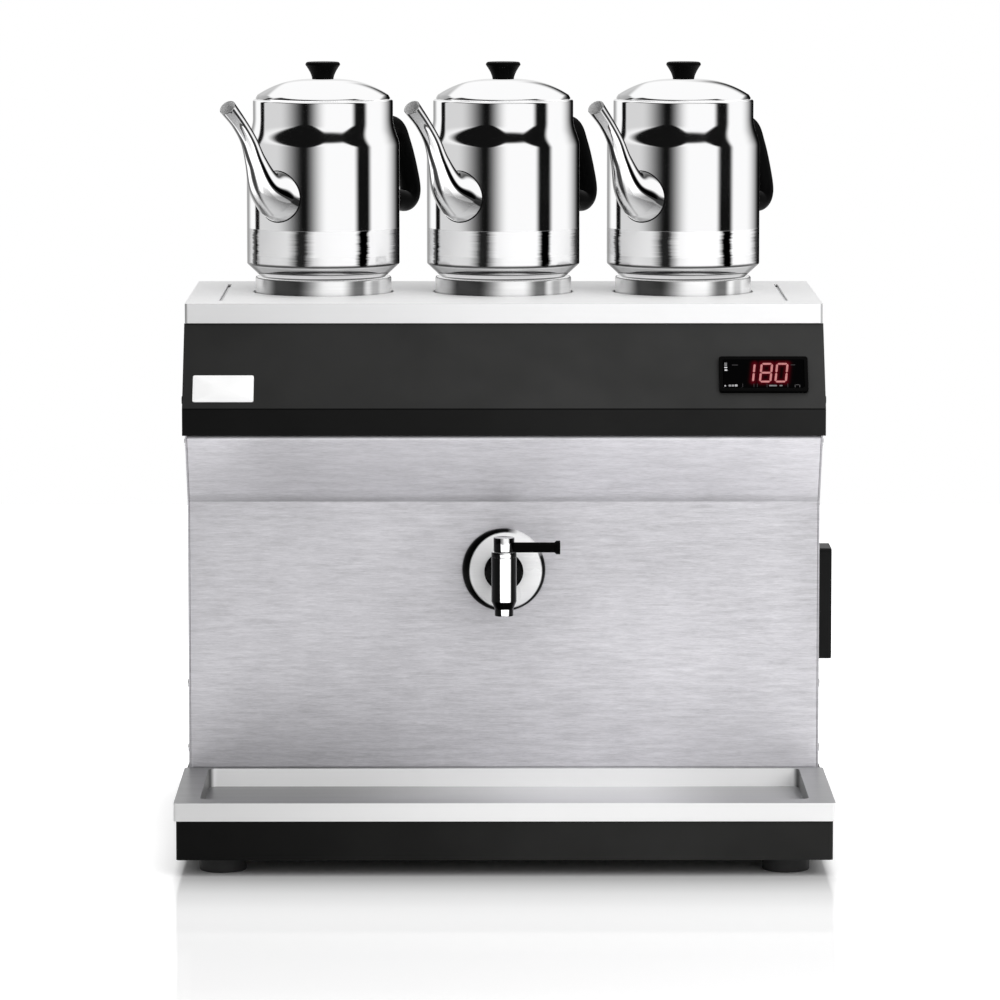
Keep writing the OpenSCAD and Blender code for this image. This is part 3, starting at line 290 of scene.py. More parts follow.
def round_box(width, height, radius, per_corner=8):
    """Outline of a rectangle with round corners: corner centre + radius * (cos a, sin a)."""
    turns = np.linspace(0.0, np.pi / 2, per_corner) + np.pi / 2 * np.arange(4)[:, None]
    middle = np.array([[1, 1], [-1, 1], [-1, -1], [1, -1]]) * [width / 2 - radius, height / 2 - radius]
    ring = middle[:, None, :] + radius * np.stack([np.cos(turns), np.sin(turns)], axis=-1)
    return ring.reshape(-1, 2)


def about_z(grid, turn):
    """Grid turned about Z."""
    c, s = math.cos(turn), math.sin(turn)
    return grid @ np.array([[c, s, 0.0], [-s, c, 0.0], [0.0, 0.0, 1.0]])


def along_y(grid):
    """Grid whose Z axis is laid along Y."""
    return grid[..., [0, 2, 1]]


def along_x(grid):
    """Grid whose Z axis is laid along X."""
    return grid[..., [2, 0, 1]]


MERGE = 1e-6
SHARP = 32.0


def piece(name, parts, look, body, stands_for=(), sharp=SHARP, closed=True):
    """Joins surfaces into one mesh object that rides on a body and may stand for CAD nodes."""
    corners = np.vstack([c for c, _ in parts])
    starts = np.cumsum([0] + [len(c) for c, _ in parts[:-1]])
    faces = [[v + int(s) for v in f] for (_, fs), s in zip(parts, starts) for f in fs]
    mesh = bpy.data.meshes.new(name)
    mesh.from_pydata(corners.tolist(), [], faces)
    shape = bmesh.new()
    shape.from_mesh(mesh)
    bmesh.ops.remove_doubles(shape, verts=shape.verts, dist=MERGE)
    bmesh.ops.dissolve_degenerate(shape, edges=shape.edges, dist=MERGE / 10)
    if closed:
        bmesh.ops.recalc_face_normals(shape, faces=shape.faces)
    shape.to_mesh(mesh)
    shape.free()
    return placed(name, mesh, look, body, stands_for, sharp)


def placed(name, mesh, look, body, stands_for, sharp):
    """Object for a mesh, smooth between its sharp edges, on its body."""
    mesh.shade_smooth()
    mesh.set_sharp_from_angle(angle=math.radians(sharp))
    coated(mesh, look)
    made = bpy.data.objects.new(name, mesh)
    bpy.context.scene.collection.objects.link(made)
    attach(made, body)
    if stands_for:
        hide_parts(*stands_for)
    return made


def coated(mesh, look):
    """Gives a mesh one finish."""
    mesh.materials.clear()
    mesh.materials.append(finish(look))


def dressed(node, look, edge, steps=2):
    """Merged copy of a node's mesh with softened edges, which stands for the node."""
    mesh = NODES[node].data.copy()
    mesh.name = node + "_finished"
    shape = bmesh.new()
    shape.from_mesh(mesh)
    bmesh.ops.remove_doubles(shape, verts=shape.verts, dist=MERGE)
    bmesh.ops.dissolve_limit(shape, angle_limit=math.radians(0.5), verts=shape.verts, edges=shape.edges)
    shape.to_mesh(mesh)
    shape.free()
    packed = mesh.attributes.get("custom_normal")
    if packed:
        mesh.attributes.remove(packed)
    made = placed(mesh.name, mesh, look, NODES[node]["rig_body"], (node,), SHARP)
    soft = made.modifiers.new("Softened edges", "BEVEL")
    soft.width = edge
    soft.segments = steps
    soft.limit_method = "ANGLE"
    soft.angle_limit = math.radians(35)
    soft.harden_normals = True
    return made


def unmirrored(*pieces):
    """Keeps pieces out of their neighbours' reflections, as flags around each pot do in a studio."""
    for made in pieces:
        made.visible_glossy = False


def corners_of(mesh):
    """Places of a mesh's corners."""
    flat = np.empty(len(mesh.vertices) * 3)
    mesh.vertices.foreach_get("co", flat)
    return flat.reshape(-1, 3)


def keep_numbers(mesh, name, values):
    """Keeps one number on each corner of a mesh."""
    mesh.attributes.new(name, "FLOAT", "POINT").data.foreach_set("value", np.asarray(values, np.float32))


def shoulder_radius(pot, t):
    """Radius of a pot's shoulder at a share t of its rise: a cosine ease, steepest below the middle."""
    return pot.body_radius - (pot.body_radius - pot.neck_radius) * (1 - np.cos(np.pi * t ** 0.82)) / 2


def pot_axis(n):
    """Place of a pot's axis on its seat."""
    low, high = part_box(f"pot_lid_{n}")
    return np.array([(low.x + high.x) / 2, (low.y + high.y) / 2, SEAT_Z])


# Finishes

class Value:
    """Output of a node. Each sum, product, larger of two (|), range or tint of it adds a node to its tree."""

    def __init__(self, tree, socket):
        self.tree, self.socket = tree, socket

    def maths(self, operation, other=0.0):
        return output(self.tree, "ShaderNodeMath", {0: self, 1: other}, operation=operation)

    def __add__(self, other):
        return self.maths("ADD", other)

    def __mul__(self, other):
        return self.maths("MULTIPLY", other)

    def __sub__(self, other):
        return self.maths("SUBTRACT", other)

    def __rsub__(self, other):
        return output(self.tree, "ShaderNodeMath", {0: other, 1: self}, operation="SUBTRACT")

    def __or__(self, other):
        return self.maths("MAXIMUM", other)

    def __abs__(self):
        return self.maths("ABSOLUTE")

    __radd__, __rmul__ = __add__, __mul__

    def spread(self, low, high, start=0.0, end=1.0, kind="LINEAR"):
        """Mapped from start and end to low and high."""
        return output(self.tree, "ShaderNodeMapRange", {"Value": self, "From Min": start, "From Max": end,
                                                        "To Min": low, "To Max": high}, interpolation_type=kind)

    def eased(self, low, high, start, end):
        """Mapped likewise, with soft ends."""
        return self.spread(low, high, start, end, "SMOOTHSTEP")

    def stripe(self, start, full, fade, end):
        """Soft band: 0 up to start, 1 from full to fade, and 0 again from end."""
        return self.eased(0.0, 1.0, start, full) * self.eased(1.0, 0.0, fade, end)

    def graded(self, steps):
        """Product of soft steps, each (low, high, start, end)."""
        return math.prod((self.eased(*step) for step in steps), start=1.0)

    def toned(self, other):
        """Colour times another colour or a number."""
        return mixed(self.tree, 1.0, self, other, "MULTIPLY")


def join(tree, value, socket):
    """Links a value to a socket, or sets the socket to a constant."""
    if isinstance(value, Value):
        tree.links.new(value.socket, socket)
    else:
        socket.default_value = value


def wire(tree, kind, links=None, **settings):
    """Adds a node, applies its settings, and links or sets its inputs."""
    node = tree.nodes.new(kind)
    for key, value in settings.items():
        setattr(node, key, value)
    for key, value in (links or {}).items():
        join(tree, value, node.inputs[key])
    return node


def output(tree, kind, links=None, key=0, **settings):
    """One output of a new node."""
    return Value(tree, wire(tree, kind, links, **settings).outputs[key])


def mixed(tree, factor, first, second, blend="MIX"):
    """Colour between two colours, or their product."""
    return output(tree, "ShaderNodeMix", {0: factor, 6: first, 7: second}, 2, data_type="RGBA", blend_type=blend)


def opaque(rgb, scale=1.0):
    """Colour with alpha, made lighter or darker."""
    return tuple(min(1.0, c * scale) for c in rgb) + (1.0,)


def grey(level):
    """Grey with alpha."""
    return (level, level, level, 1.0)


def varied(value, rgb, contrast):
    """Colour that a value between 0 and 1 makes darker or lighter."""
    return mixed(value.tree, value, opaque(rgb, 1 - contrast), opaque(rgb, 1 + contrast))


def split(vector):
    """The x, y and z of a vector."""
    return [Value(vector.tree, part) for part in wire(vector.tree, "ShaderNodeSeparateXYZ", {0: vector}).outputs]


def normal(tree):
    """The x, y and z of the way that the surface faces."""
    return split(output(tree, "ShaderNodeNewGeometry", key="Normal"))


def stored(tree, name):
    """Number kept on the corners of the mesh."""
    return output(tree, "ShaderNodeAttribute", key="Fac", attribute_name=name)


def noise(vector, scale, detail, roughness=0.5):
    """Noise between 0 and 1."""
    return output(vector.tree, "ShaderNodeTexNoise", {"Vector": vector, "Scale": scale, "Detail": detail,
                                                      "Roughness": roughness})


def bumped(height, strength, distance):
    """Normal from a height."""
    return output(height.tree, "ShaderNodeBump", {"Height": height, "Strength": strength, "Distance": distance})


def effect(name, label, build, **inputs):
    """Output of the named node group, which is built from its inputs the first time that it is used."""
    group = bpy.data.node_groups.get(name)
    if not group:
        group = bpy.data.node_groups.new(name, "ShaderNodeTree")
        for key, value in inputs.items():
            linked = isinstance(value, Value)
            socket = group.interface.new_socket(
                key, in_out="INPUT", socket_type="NodeSocketVector" if linked else "NodeSocketFloat")
            if not linked:
                socket.default_value = value
        group.interface.new_socket(label, in_out="OUTPUT", socket_type="NodeSocketFloat")
        given = group.nodes.new("NodeGroupInput").outputs
        join(group, build(*[Value(group, given[key]) for key in inputs]),
             group.nodes.new("NodeGroupOutput").inputs[label])
    return output(inputs["Vector"].tree, "ShaderNodeGroup", inputs, node_tree=group)


def drawn_grain(place, stretch):
    """Group: long fine streaks, from two noises on stretched coordinates."""
    def build(vector):
        return (noise(vector, 1.0, 4.0, 0.7) * 0.62 + noise(vector, 0.21, 2.0) * 0.38).spread(0.0, 1.0, 0.30, 0.70)

    long = output(place.tree, "ShaderNodeMapping", {"Vector": place, "Scale": stretch})
    return effect("Drawn grain", "Grain", build, Vector=long)


def soft_clouds(place, scale):
    """Group: broad soft patches, as handling and rolling leave on a sheet."""
    def build(vector, size):
        return noise(vector, size, 3.0, 0.55).eased(0.0, 1.0, 0.30, 0.70)

    return effect("Soft clouds", "Cloud", build, Vector=place, Scale=scale)


def moulded_skin(place, scale):
    """Group: fine even texture of paint, rubber or moulded plastic."""
    def build(vector, size):
        return noise(vector, size, 2.0)

    return effect("Moulded skin", "Height", build, Vector=place, Scale=scale)


def steel(tree, place, rgb, stretch, grain_part=0.35, cloud_part=0.25, contrast=0.14, roughness=0.36, vary=0.06,
          bump=0.08, cloud_scale=6.0, metallic=1.0, fold=None, across=(), painted_light_by_height=(), upright=None, ends=1.0,
          painted_edge_shade=0.0):
    """Drawn sheet steel: streaks along one axis and soft clouds change its tone and gloss. Painted light makes it
    paler above a fold's height, with a painted shade line in the fold, and grades it across and by height. Upright
    faces may have a colour of their own, which is painted light where it is paler, a share of metal and, in front, a
    painted light grading of their own, end walls may have painted shade inside, and the rounded edges painted shade."""
    grain = drawn_grain(place, stretch)
    cloud = soft_clouds(place, cloud_scale)
    tone = grain * grain_part + cloud * cloud_part + (1 - grain_part - cloud_part) / 2
    base = varied(tone, rgb, contrast)
    x, y, z = split(place)
    # Painted light: the tone is graded across the sheet.
    if across:
        base = base.toned(x.graded(across))
    # Painted light: the tone is graded by height.
    if painted_light_by_height:
        base = base.toned(z.graded(painted_light_by_height))
    # Painted light above the fold's height, and a painted shade line in the fold.
    if fold:
        low, high, fade, paler = fold - 0.0006, fold + 0.0006, fold + 0.009, 1.22
        line = z.spread(0.0, 1.0, low, high) * z.eased(0.30, 0.0, fold, fade)
        base = mixed(tree, line, base.toned(z.spread(1.0, paler, low, high)), grey(0.02))
    # Upright faces: a colour of their own, which is painted light where it is paler than the level faces, and painted
    # light graded across those in front.
    if upright:
        rgb, part, steps, back = upright
        nx, _, nz = normal(tree)
        stands = abs(nz).spread(1.0, 0.0, 0.4, 0.6)
        front = y.spread(1.0, 0.0, back - 0.01, back + 0.01)
        face = mixed(tree, front, opaque(rgb), x.graded(steps).toned(opaque(rgb)))
        base = mixed(tree, stands, base, face.toned(tone.spread(0.955, 1.015)))
        # Painted shade on the inner side of the end walls.
        inward = nx * (x.maths("SIGN") * -1.0)
        base = base.toned(inward.spread(1.0, ends, 0.4, 0.8))
        metallic = stands.spread(metallic, part)
    # Painted shade on the rounded edges.
    if painted_edge_shade:
        nx, ny, nz = map(abs, normal(tree))
        base = base.toned((nx | ny | nz).spread(1.0 - painted_edge_shade, 1.0, 0.90, 0.985))
    return dict(Base_Color=base, Metallic=metallic, Roughness=grain.spread(roughness + vary, roughness - vary),
                Normal=bumped(grain, bump, 0.0002))


def black_coat(tree, place, rgb, roughness=0.42, gloss=0.14, scale=1400.0, bump=0.10, fold=None, across=(),
               strip=()):
    """Black paint, plastic or rubber: a fine skin, with soft clouds in its tone and roughness, and painted light
    graded across its tone. It has painted shade below a fold's height, where painted light has a grading of its own,
    and its darkest painted shade in the fold."""
    cloud = soft_clouds(place, 9.0)
    height = moulded_skin(place, scale)
    base = varied(cloud, rgb, 0.14)
    x, _, z = split(place)
    # Painted shade below the fold's height and a darker painted shade line in the fold, with painted light graded
    # across above and below.
    if fold:
        below = z.spread(1.0, 0.0, fold - 0.0003, fold + 0.0003)
        line = z.spread(0.0, 1.0, fold - 0.0014, fold - 0.0002) * z.spread(1.0, 0.0, fold + 0.0002, fold + 0.0012)
        tone = x.graded(across) * (1.0 - below) + x.graded(strip) * below
        base = mixed(tree, below * 0.75 | line, base.toned(tone), grey(0.0008))
    # Painted light graded across.
    elif across:
        base = base.toned(x.graded(across))
    return dict(Base_Color=base, Specular_IOR_Level=gloss, Roughness=cloud.spread(roughness + 0.04, roughness - 0.04),
                Normal=bumped(height, bump, 0.0001))


def painted_dark_reflection(tree, start, end, lean=(0.0, 0.0), level=False, sides=0.0):
    """Mask of painted reflections on the edges that turn away, which stand for the dark behind the lamps that
    polished
    metal would mirror: facing, made larger or smaller by the normal's x and z, plus a share of its turn to either
    side, off level faces unless they are asked for."""
    facing = output(tree, "ShaderNodeLayerWeight", {"Blend": 0.5}, "Facing")
    nx, _, nz = normal(tree)
    more = nx.maths("MINIMUM", 0.55) * lean[0] + nz * lean[1]
    dark = (facing * (1.0 + more) + abs(nx) * sides).eased(0.0, 1.0, start, end)
    return dark if level else dark * nz.spread(1.0, 0.0, 0.35, 0.6)


# Painted reflections: dark stripes on the pot's brushed band and below it, one row each: depth, then where the stripe
# starts, is full, fades and ends in the normal's x.
PAINTED_BAND_REFLECTIONS = ((0.96, -0.92, -0.89, -0.86, -0.82), (0.90, -0.46, -0.28, -0.24, -0.07),
                (0.99, 0.43, 0.52, 0.575, 0.63), (0.90, 0.85, 0.96, 1.1, 1.2))


def polished_steel(tree, place, rgb, start, end, lines=0.04, stripes=(), creases=(), depth=1.0, **outline):
    """Spun and polished pot steel: faint turning lines all over, a brushed band low on the body, painted reflections
    as dark bands by the way it faces from there down, painted shade as dark crease lines at the foot, painted
    reflections as dark outlines and as dark stripes along a spout with a grey upper part, and a matt inside where the
    corners are marked so."""
    pot, arms = bpy.context.scene.tea_pot, bpy.context.scene.tea_arms
    z = split(place)[2]
    nx, _, nz = normal(tree)
    line = drawn_grain(place, (9.0, 9.0, 1500.0))
    cloud = soft_clouds(place, 14.0)
    inside = stored(tree, "inside")
    low, high, foot = (SEAT_Z + height for height in (pot.band_low, pot.band_high, pot.chamfer_height))
    under_top = z.spread(1.0, 0.0, high - 0.0002, high + 0.0002)
    band = z.spread(0.0, 1.0, low - 0.0012, low + 0.0012) * under_top
    down = under_top * z.spread(0.0, 1.0, foot - 0.0006, foot + 0.0002) * abs(nz).spread(1.0, 0.0, 0.2, 0.4)
    ragged = nx + line.spread(-0.025, 0.025)
    dark = painted_dark_reflection(tree, start, end, **outline) * depth
    # Painted reflections: dark stripes on the brushed band and below it.
    for part, *edges in PAINTED_BAND_REFLECTIONS:
        dark = dark | down * part * ragged.stripe(*edges)
    # Painted shade: dark crease lines at the foot.
    for part, *edges in creases:
        dark = dark | part * z.stripe(*[SEAT_Z + edge for edge in edges])
    matt = band * 0.92 | down * 0.70
    # Painted reflections along the spout: a dark stripe on each side with a grey upper part, and darker marks on its
    # neck and on the bulb at its root.
    if stripes:
        root = SEAT_Z + arms.spout_root
        dark = dark * nz.spread(0.2, 1.0, -0.92, -0.70)
        over = nx * 0.79 + nz * 0.62
        aside = over + z.spread(0.0, 0.36, root + 0.028, root + 0.060)
        left = aside.stripe(*stripes[0]) * (nx.spread(0.97, 0.0, -0.32, -0.12)
                                            | z.spread(0.0, 0.97, root + 0.030, root + 0.045))
        right = over.stripe(*stripes[1]) * 0.98
        neck = z.spread(0.0, 0.66, SEAT_Z + pot.shoulder_height - 0.004, SEAT_Z + pot.mouth_height)
        neck = neck * over.stripe(-0.8, -0.6, 0.26, 0.36)
        bulb = z.spread(0.84, 0.0, root + 0.004, root + 0.014) * nz.stripe(-1.10, -0.10, -0.01, 0.04)
        bulb = bulb * nx.spread(0.35, 1.0, -0.5, 0.2)
        dark = dark | left | right | neck | bulb
        matt = matt | z.spread(0.9, 0.0, root + 0.004, root + 0.014) * nz.spread(1.0, 0.0, -0.62, -0.25)
    dark = dark * (1.0 - inside)
    bright = mixed(tree, inside, opaque(rgb), grey(0.45))
    metal = inside.spread(1.0, 0.15) - matt | dark.spread(0.0, 1.0, 0.6, 0.95)
    return dict(Base_Color=mixed(tree, dark, bright, grey(0.006)), Metallic=metal,
                Roughness=cloud.spread(0.045, 0.085) + band * 0.05 + inside * 0.4,
                Normal=bumped(line * band.spread(lines, 0.8), 0.10, 0.0002))


def bright_metal(tree, place, rgb, roughness, stretch=(30.0, 30.0, 1200.0), bump=0.02, contrast=0.05, outline=None,
                 painted_reflection_marks=False, metallic=1.0, bands=()):
    """Chrome, turned or cast metal: faint turning lines, a little change of gloss, for chrome painted reflections as
    dark outlines and as the dark ring behind the tap, and for a turned ring painted reflections as dark bands by the
    way it faces."""
    line = drawn_grain(place, stretch)
    cloud = soft_clouds(place, 25.0)
    base = varied(line, rgb, contrast)
    # Painted reflections: the dark marks stored on the corners, and dark outlines.
    if painted_reflection_marks:
        dark = stored(tree, "shade")
        if outline:
            dark = dark | painted_dark_reflection(tree, *outline)
        base = mixed(tree, dark, base, grey(0.004))
        metallic = dark.spread(metallic, 1.0)
    # Painted reflections: dark bands by the way the ring faces.
    if bands:
        nx, _, nz = normal(tree)
        level = nz.spread(0.0, 1.0, 0.7, 0.9)
        metallic = level.spread(metallic, 1.0)
        for depth, *edges in bands:
            base = mixed(tree, nx.stripe(*edges) * level.spread(depth, 0.0), base, grey(0.01))
    return dict(Base_Color=base, Metallic=metallic, Roughness=cloud.spread(roughness * 0.8, roughness * 1.2),
                Normal=bumped(line, bump, 0.0001))


def pale_plastic(tree, place, rgb, roughness=0.4):
    """Pale plastic or ceramic: a fine skin with a slight change of tone."""
    cloud = soft_clouds(place, 30.0)
    return dict(Base_Color=mixed(tree, cloud, opaque(rgb, 0.965), opaque(rgb, 1.02)), Specular_IOR_Level=0.3,
                Roughness=cloud.spread(roughness - 0.05, roughness + 0.05),
                Normal=bumped(moulded_skin(place, 1600.0), 0.06, 0.0001))


def dark_glass(tree, place, rgb):
    """Black display window: a painted glow from the lit figures, stored on its corners, shows in the glass around
    them.
    """
    return dict(Base_Color=(0.0005, 0.0005, 0.0006, 1.0), Specular_IOR_Level=0.012,
                Roughness=soft_clouds(place, 40.0).spread(0.10, 0.16), Emission_Strength=1.0,
                Emission_Color=mixed(tree, stored(tree, "glow"), grey(0.0), opaque(rgb)))


def lit_marks(tree, place, rgb):
    """Lit strokes, and printed marks with a painted glow: their level is stored on their corners, with a slight
    flicker of tone.
    """
    tone = varied(soft_clouds(place, 400.0), rgb, 0.12)
    return dict(Base_Color=(0.004, 0.002, 0.002, 1.0), Specular_IOR_Level=0.05, Roughness=0.4, Emission_Strength=1.0,
                Emission_Color=mixed(tree, stored(tree, "level"), grey(0.0), tone))


def recipes(c):
    """Function and settings of each finish, by its name."""
    panel = dict(stretch=(125.0, 125.0, 1350.0), grain_part=0.5, cloud_part=0.2, contrast=0.39, roughness=0.46,
                 metallic=0.55)
    return {
        # Painted light: paler above the bend with a painted shade line in it, paler low down, and graded across.
        "front_steel": partial(steel, rgb=c.brushed, fold=c.panel_bend, painted_light_by_height=((1.19, 1.0, 0.07, 0.25),),
                               across=((0.905, 1.065, -0.30, 0.30), (0.88, 1.0, -0.285, -0.24),
                                       (1.0, 0.87, 0.23, 0.285)), **panel),
        # Painted shade: the side and rear panels are a darker copy of the front's brushed steel.
        "side_steel_painted_darker": partial(steel, rgb=tuple(0.78 * v for v in c.brushed), **panel),
        # Painted light graded across the level faces, painted shade on the inner end walls, and upright faces painted
        # paler and less metallic, with painted light graded across those in front.
        "tray_steel": partial(steel, rgb=c.tray, stretch=(9.0, 1500.0, 1500.0), grain_part=0.2, cloud_part=0.5,
                              cloud_scale=4.0, contrast=0.12, metallic=0.5,
                              across=((0.34, 1.0, -0.18, 0.06), (1.0, 0.55, 0.11, 0.21)), ends=0.10,
                              upright=((1.0, 1.0, 1.0), 0.1,
                                       ((0.69, 0.94, -0.29, 0.0), (1.0, 0.94, 0.1, 0.28)), -0.12)),
        # Painted shade on the rounded edges, and painted light graded across the upright lip in front.
        "plate_steel": partial(steel, rgb=c.satin, stretch=(9.0, 1300.0, 1300.0), grain_part=0.22, cloud_part=0.4,
                               contrast=0.05, roughness=0.46, bump=0.04, metallic=0.05, painted_edge_shade=0.5,
                               upright=(c.satin, 0.22, ((0.76, 1.0, -0.30, 0.06),), 0.10)),
        # Painted reflections as dark outlines and band stripes, and painted shade in the crease lines at the foot.
        "pot_steel": partial(polished_steel, rgb=c.polished, start=0.64, end=0.86,
                             creases=((0.88, 0.0, 0.0002, 0.0012, 0.0024), (0.34, 0.0012, 0.0030, 0.0100, 0.0120),
                                      (0.90, 0.0112, 0.0120, 0.0129, 0.0146))),
        # Painted reflections as dark outlines on the lid.
        "lid_steel": partial(polished_steel, rgb=c.polished, start=1.18, end=1.31, level=True, sides=1.0,
                             lean=(-0.37, 0.0), depth=0.62),
        # Painted reflections as dark outlines and stripes along the spout.
        "spout_steel": partial(polished_steel, rgb=c.polished, start=0.44, end=0.62, level=True, lines=0.01,
                               stripes=((-0.72, -0.60, -0.40, -0.26), (0.20, 0.32, 0.50, 0.62))),
        # Painted reflections: dark bands on the collars by the way they face.
        "collar_steel": partial(bright_metal, rgb=c.turned, roughness=0.22, bump=0.05, contrast=0.10, metallic=0.35,
                                bands=((0.96, -0.92, -0.66, -0.36, 0.06), (0.80, 0.28, 0.50, 0.58, 0.67),
                                       (0.40, 0.68, 0.75, 0.80, 0.86))),
        # Painted reflections: dark outlines and the stored dark marks on the tap, and the stored dark ring on its
        # cover disc.
        "tap_chrome": partial(bright_metal, rgb=c.chrome, roughness=0.045, outline=(0.063, 0.083, (-1.0, 0.0)),
                              painted_reflection_marks=True, metallic=0.7),
        "disc_chrome": partial(bright_metal, rgb=c.chrome, roughness=0.30, painted_reflection_marks=True, metallic=0.02),
        # Near black: the dark seam round each spout's root, and painted shade for the strainer's holes.
        "seam_and_hole_shade": partial(black_coat, rgb=(0.003,) * 3, roughness=0.4, gloss=0.03),
        # Painted shade on the lower strip and in the fold, and painted light graded across.
        "fascia_black": partial(black_coat, rgb=c.fascia, gloss=0.07, fold=c.fascia_bend,
                                across=((0.66, 1.14, -0.32, 0.20),), strip=((0.40, 2.0, -0.34, 0.34),)),
        # Painted light graded across the base.
        "base_black": partial(black_coat, rgb=c.plinth, roughness=0.46, gloss=0.05,
                              across=((0.17, 1.16, -0.34, 0.18), (1.0, 0.80, 0.16, 0.29))),
        "handle_black": partial(black_coat, rgb=c.bakelite, roughness=0.38, gloss=0.015, scale=700.0, bump=0.04),
        "case_black": partial(black_coat, rgb=(0.008,) * 3, roughness=0.30, gloss=0.08, scale=1100.0),
        "bezel_black": partial(black_coat, rgb=(0.0012,) * 3, roughness=0.35, gloss=0.03, bump=0.02),
        "foot_rubber": partial(black_coat, rgb=(0.010,) * 3, roughness=0.62, gloss=0.12, scale=600.0, bump=0.2),
        "window_glass": partial(dark_glass, rgb=c.glow),
        "lit_figures": partial(lit_marks, rgb=c.lit),
        # Painted light: the printed marks glow.
        "printed_marks": partial(lit_marks, rgb=(0.74, 0.74, 0.76)),
        "label_plate": partial(pale_plastic, rgb=c.label, roughness=0.32),
        "white_plastic": partial(pale_plastic, rgb=(0.72, 0.71, 0.67)),
        "tank_steel": partial(steel, rgb=(0.60, 0.60, 0.61), stretch=(700.0, 700.0, 14.0), contrast=0.12,
                              roughness=0.30),
        "screw_steel": partial(bright_metal, rgb=(0.62, 0.62, 0.63), roughness=0.26, stretch=(1500.0, 60.0, 60.0),
                               bump=0.05),
        "brass": partial(bright_metal, rgb=(0.72, 0.50, 0.20), roughness=0.24, stretch=(60.0, 60.0, 900.0), bump=0.06,
                         contrast=0.12),
        "heater_sheath": partial(steel, rgb=(0.34, 0.33, 0.33), stretch=(60.0, 900.0, 900.0), contrast=0.2,
                                 roughness=0.42),
    }


def finish(name):
    """Material by its name, made the first time it is asked for."""
    made = bpy.data.materials.get(name)
    if not made:
        made = bpy.data.materials.new(name)
        made.use_nodes = True
        tree = made.node_tree
        shader = tree.nodes["Principled BSDF"]
        place = output(tree, "ShaderNodeTexCoord", key="Object")
        for label, value in recipes(bpy.context.scene.tea_finishes)[name](tree, place).items():
            join(tree, value, shader.inputs[label.replace("_", " ")])
    return made


# Pieces

class TEAMAKER_OT_panels(bpy.types.Operator):
    """Dress the sheet panels, the base, the tray, the top plate and the fascia"""
    bl_idname = "teamaker.panels"
    bl_label = "Sheet panels"

    def execute(self, context):
        dressed("front_panel", "front_steel", 0.0003)
        for node in ("left_side_panel", "right_side_panel", "rear_panel"):
            dressed(node, "side_steel_painted_darker", 0.0003)
        dressed("drip_tray", "tray_steel", 0.0005)
        dressed("top_plate", "plate_steel", 0.0006)
        wide, deep, corner, inset = 0.009, 0.200, 0.004, 0.030
        bottom, top = 0.0042, 0.0027
        low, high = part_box("top_plate")
        slot = round_box(wide, deep, corner) + [0.0, (low.y + high.y) / 2]
        middle, reach = (low.x + high.x) / 2, (high.x - low.x) / 2 - inset
        floors = np.stack([slot + [middle - reach, 0.0], slot + [middle + reach, 0.0]])
        piece("drain_slot_floors", [tiles(floors, high.z - bottom, high.z - top)], "plate_steel", "machine")
        dressed("control_fascia", "fascia_black", 0.0005)
        dressed("base_plinth", "base_black", 0.0006)
        dressed("heater_cover", "case_black", 0.0009, 3)
        return {"FINISHED"}


class TEAMAKER_OT_collars(bpy.types.Operator):
    """Turn the three collars that the pots stand in"""
    bl_idname = "teamaker.collars"
    bl_label = "Pot collars"

    def execute(self, context):
        pot = context.scene.tea_pot
        sheet, slack, small, large, arc = 0.002, 0.0004, 0.0006, 0.0012, 7
        low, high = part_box("pot_collars")
        outer = (high.y - low.y) / 2
        inner = outer - sheet
        bore = pot.spigot_radius + pot.rounding + slack
        lip = SEAT_Z - sheet
        ring = bent([(inner, low.z), (outer, low.z), (outer, SEAT_Z), (bore, SEAT_Z), (bore, lip), (inner, lip),
                     (inner, low.z)], small)
        brim = bent([(outer, low.z), (outer, SEAT_Z), (bore, SEAT_Z)], large)
        ring = turned(np.vstack([ring[:arc], brim[1:-1], ring[2 * arc:-1]]))
        piece("pot_collars_turned", [skin(ring + pot_axis(n) * [1, 1, 0], wrap_rows=True) for n in POTS],
              "collar_steel", "machine", ("pot_collars",))
        return {"FINISHED"}


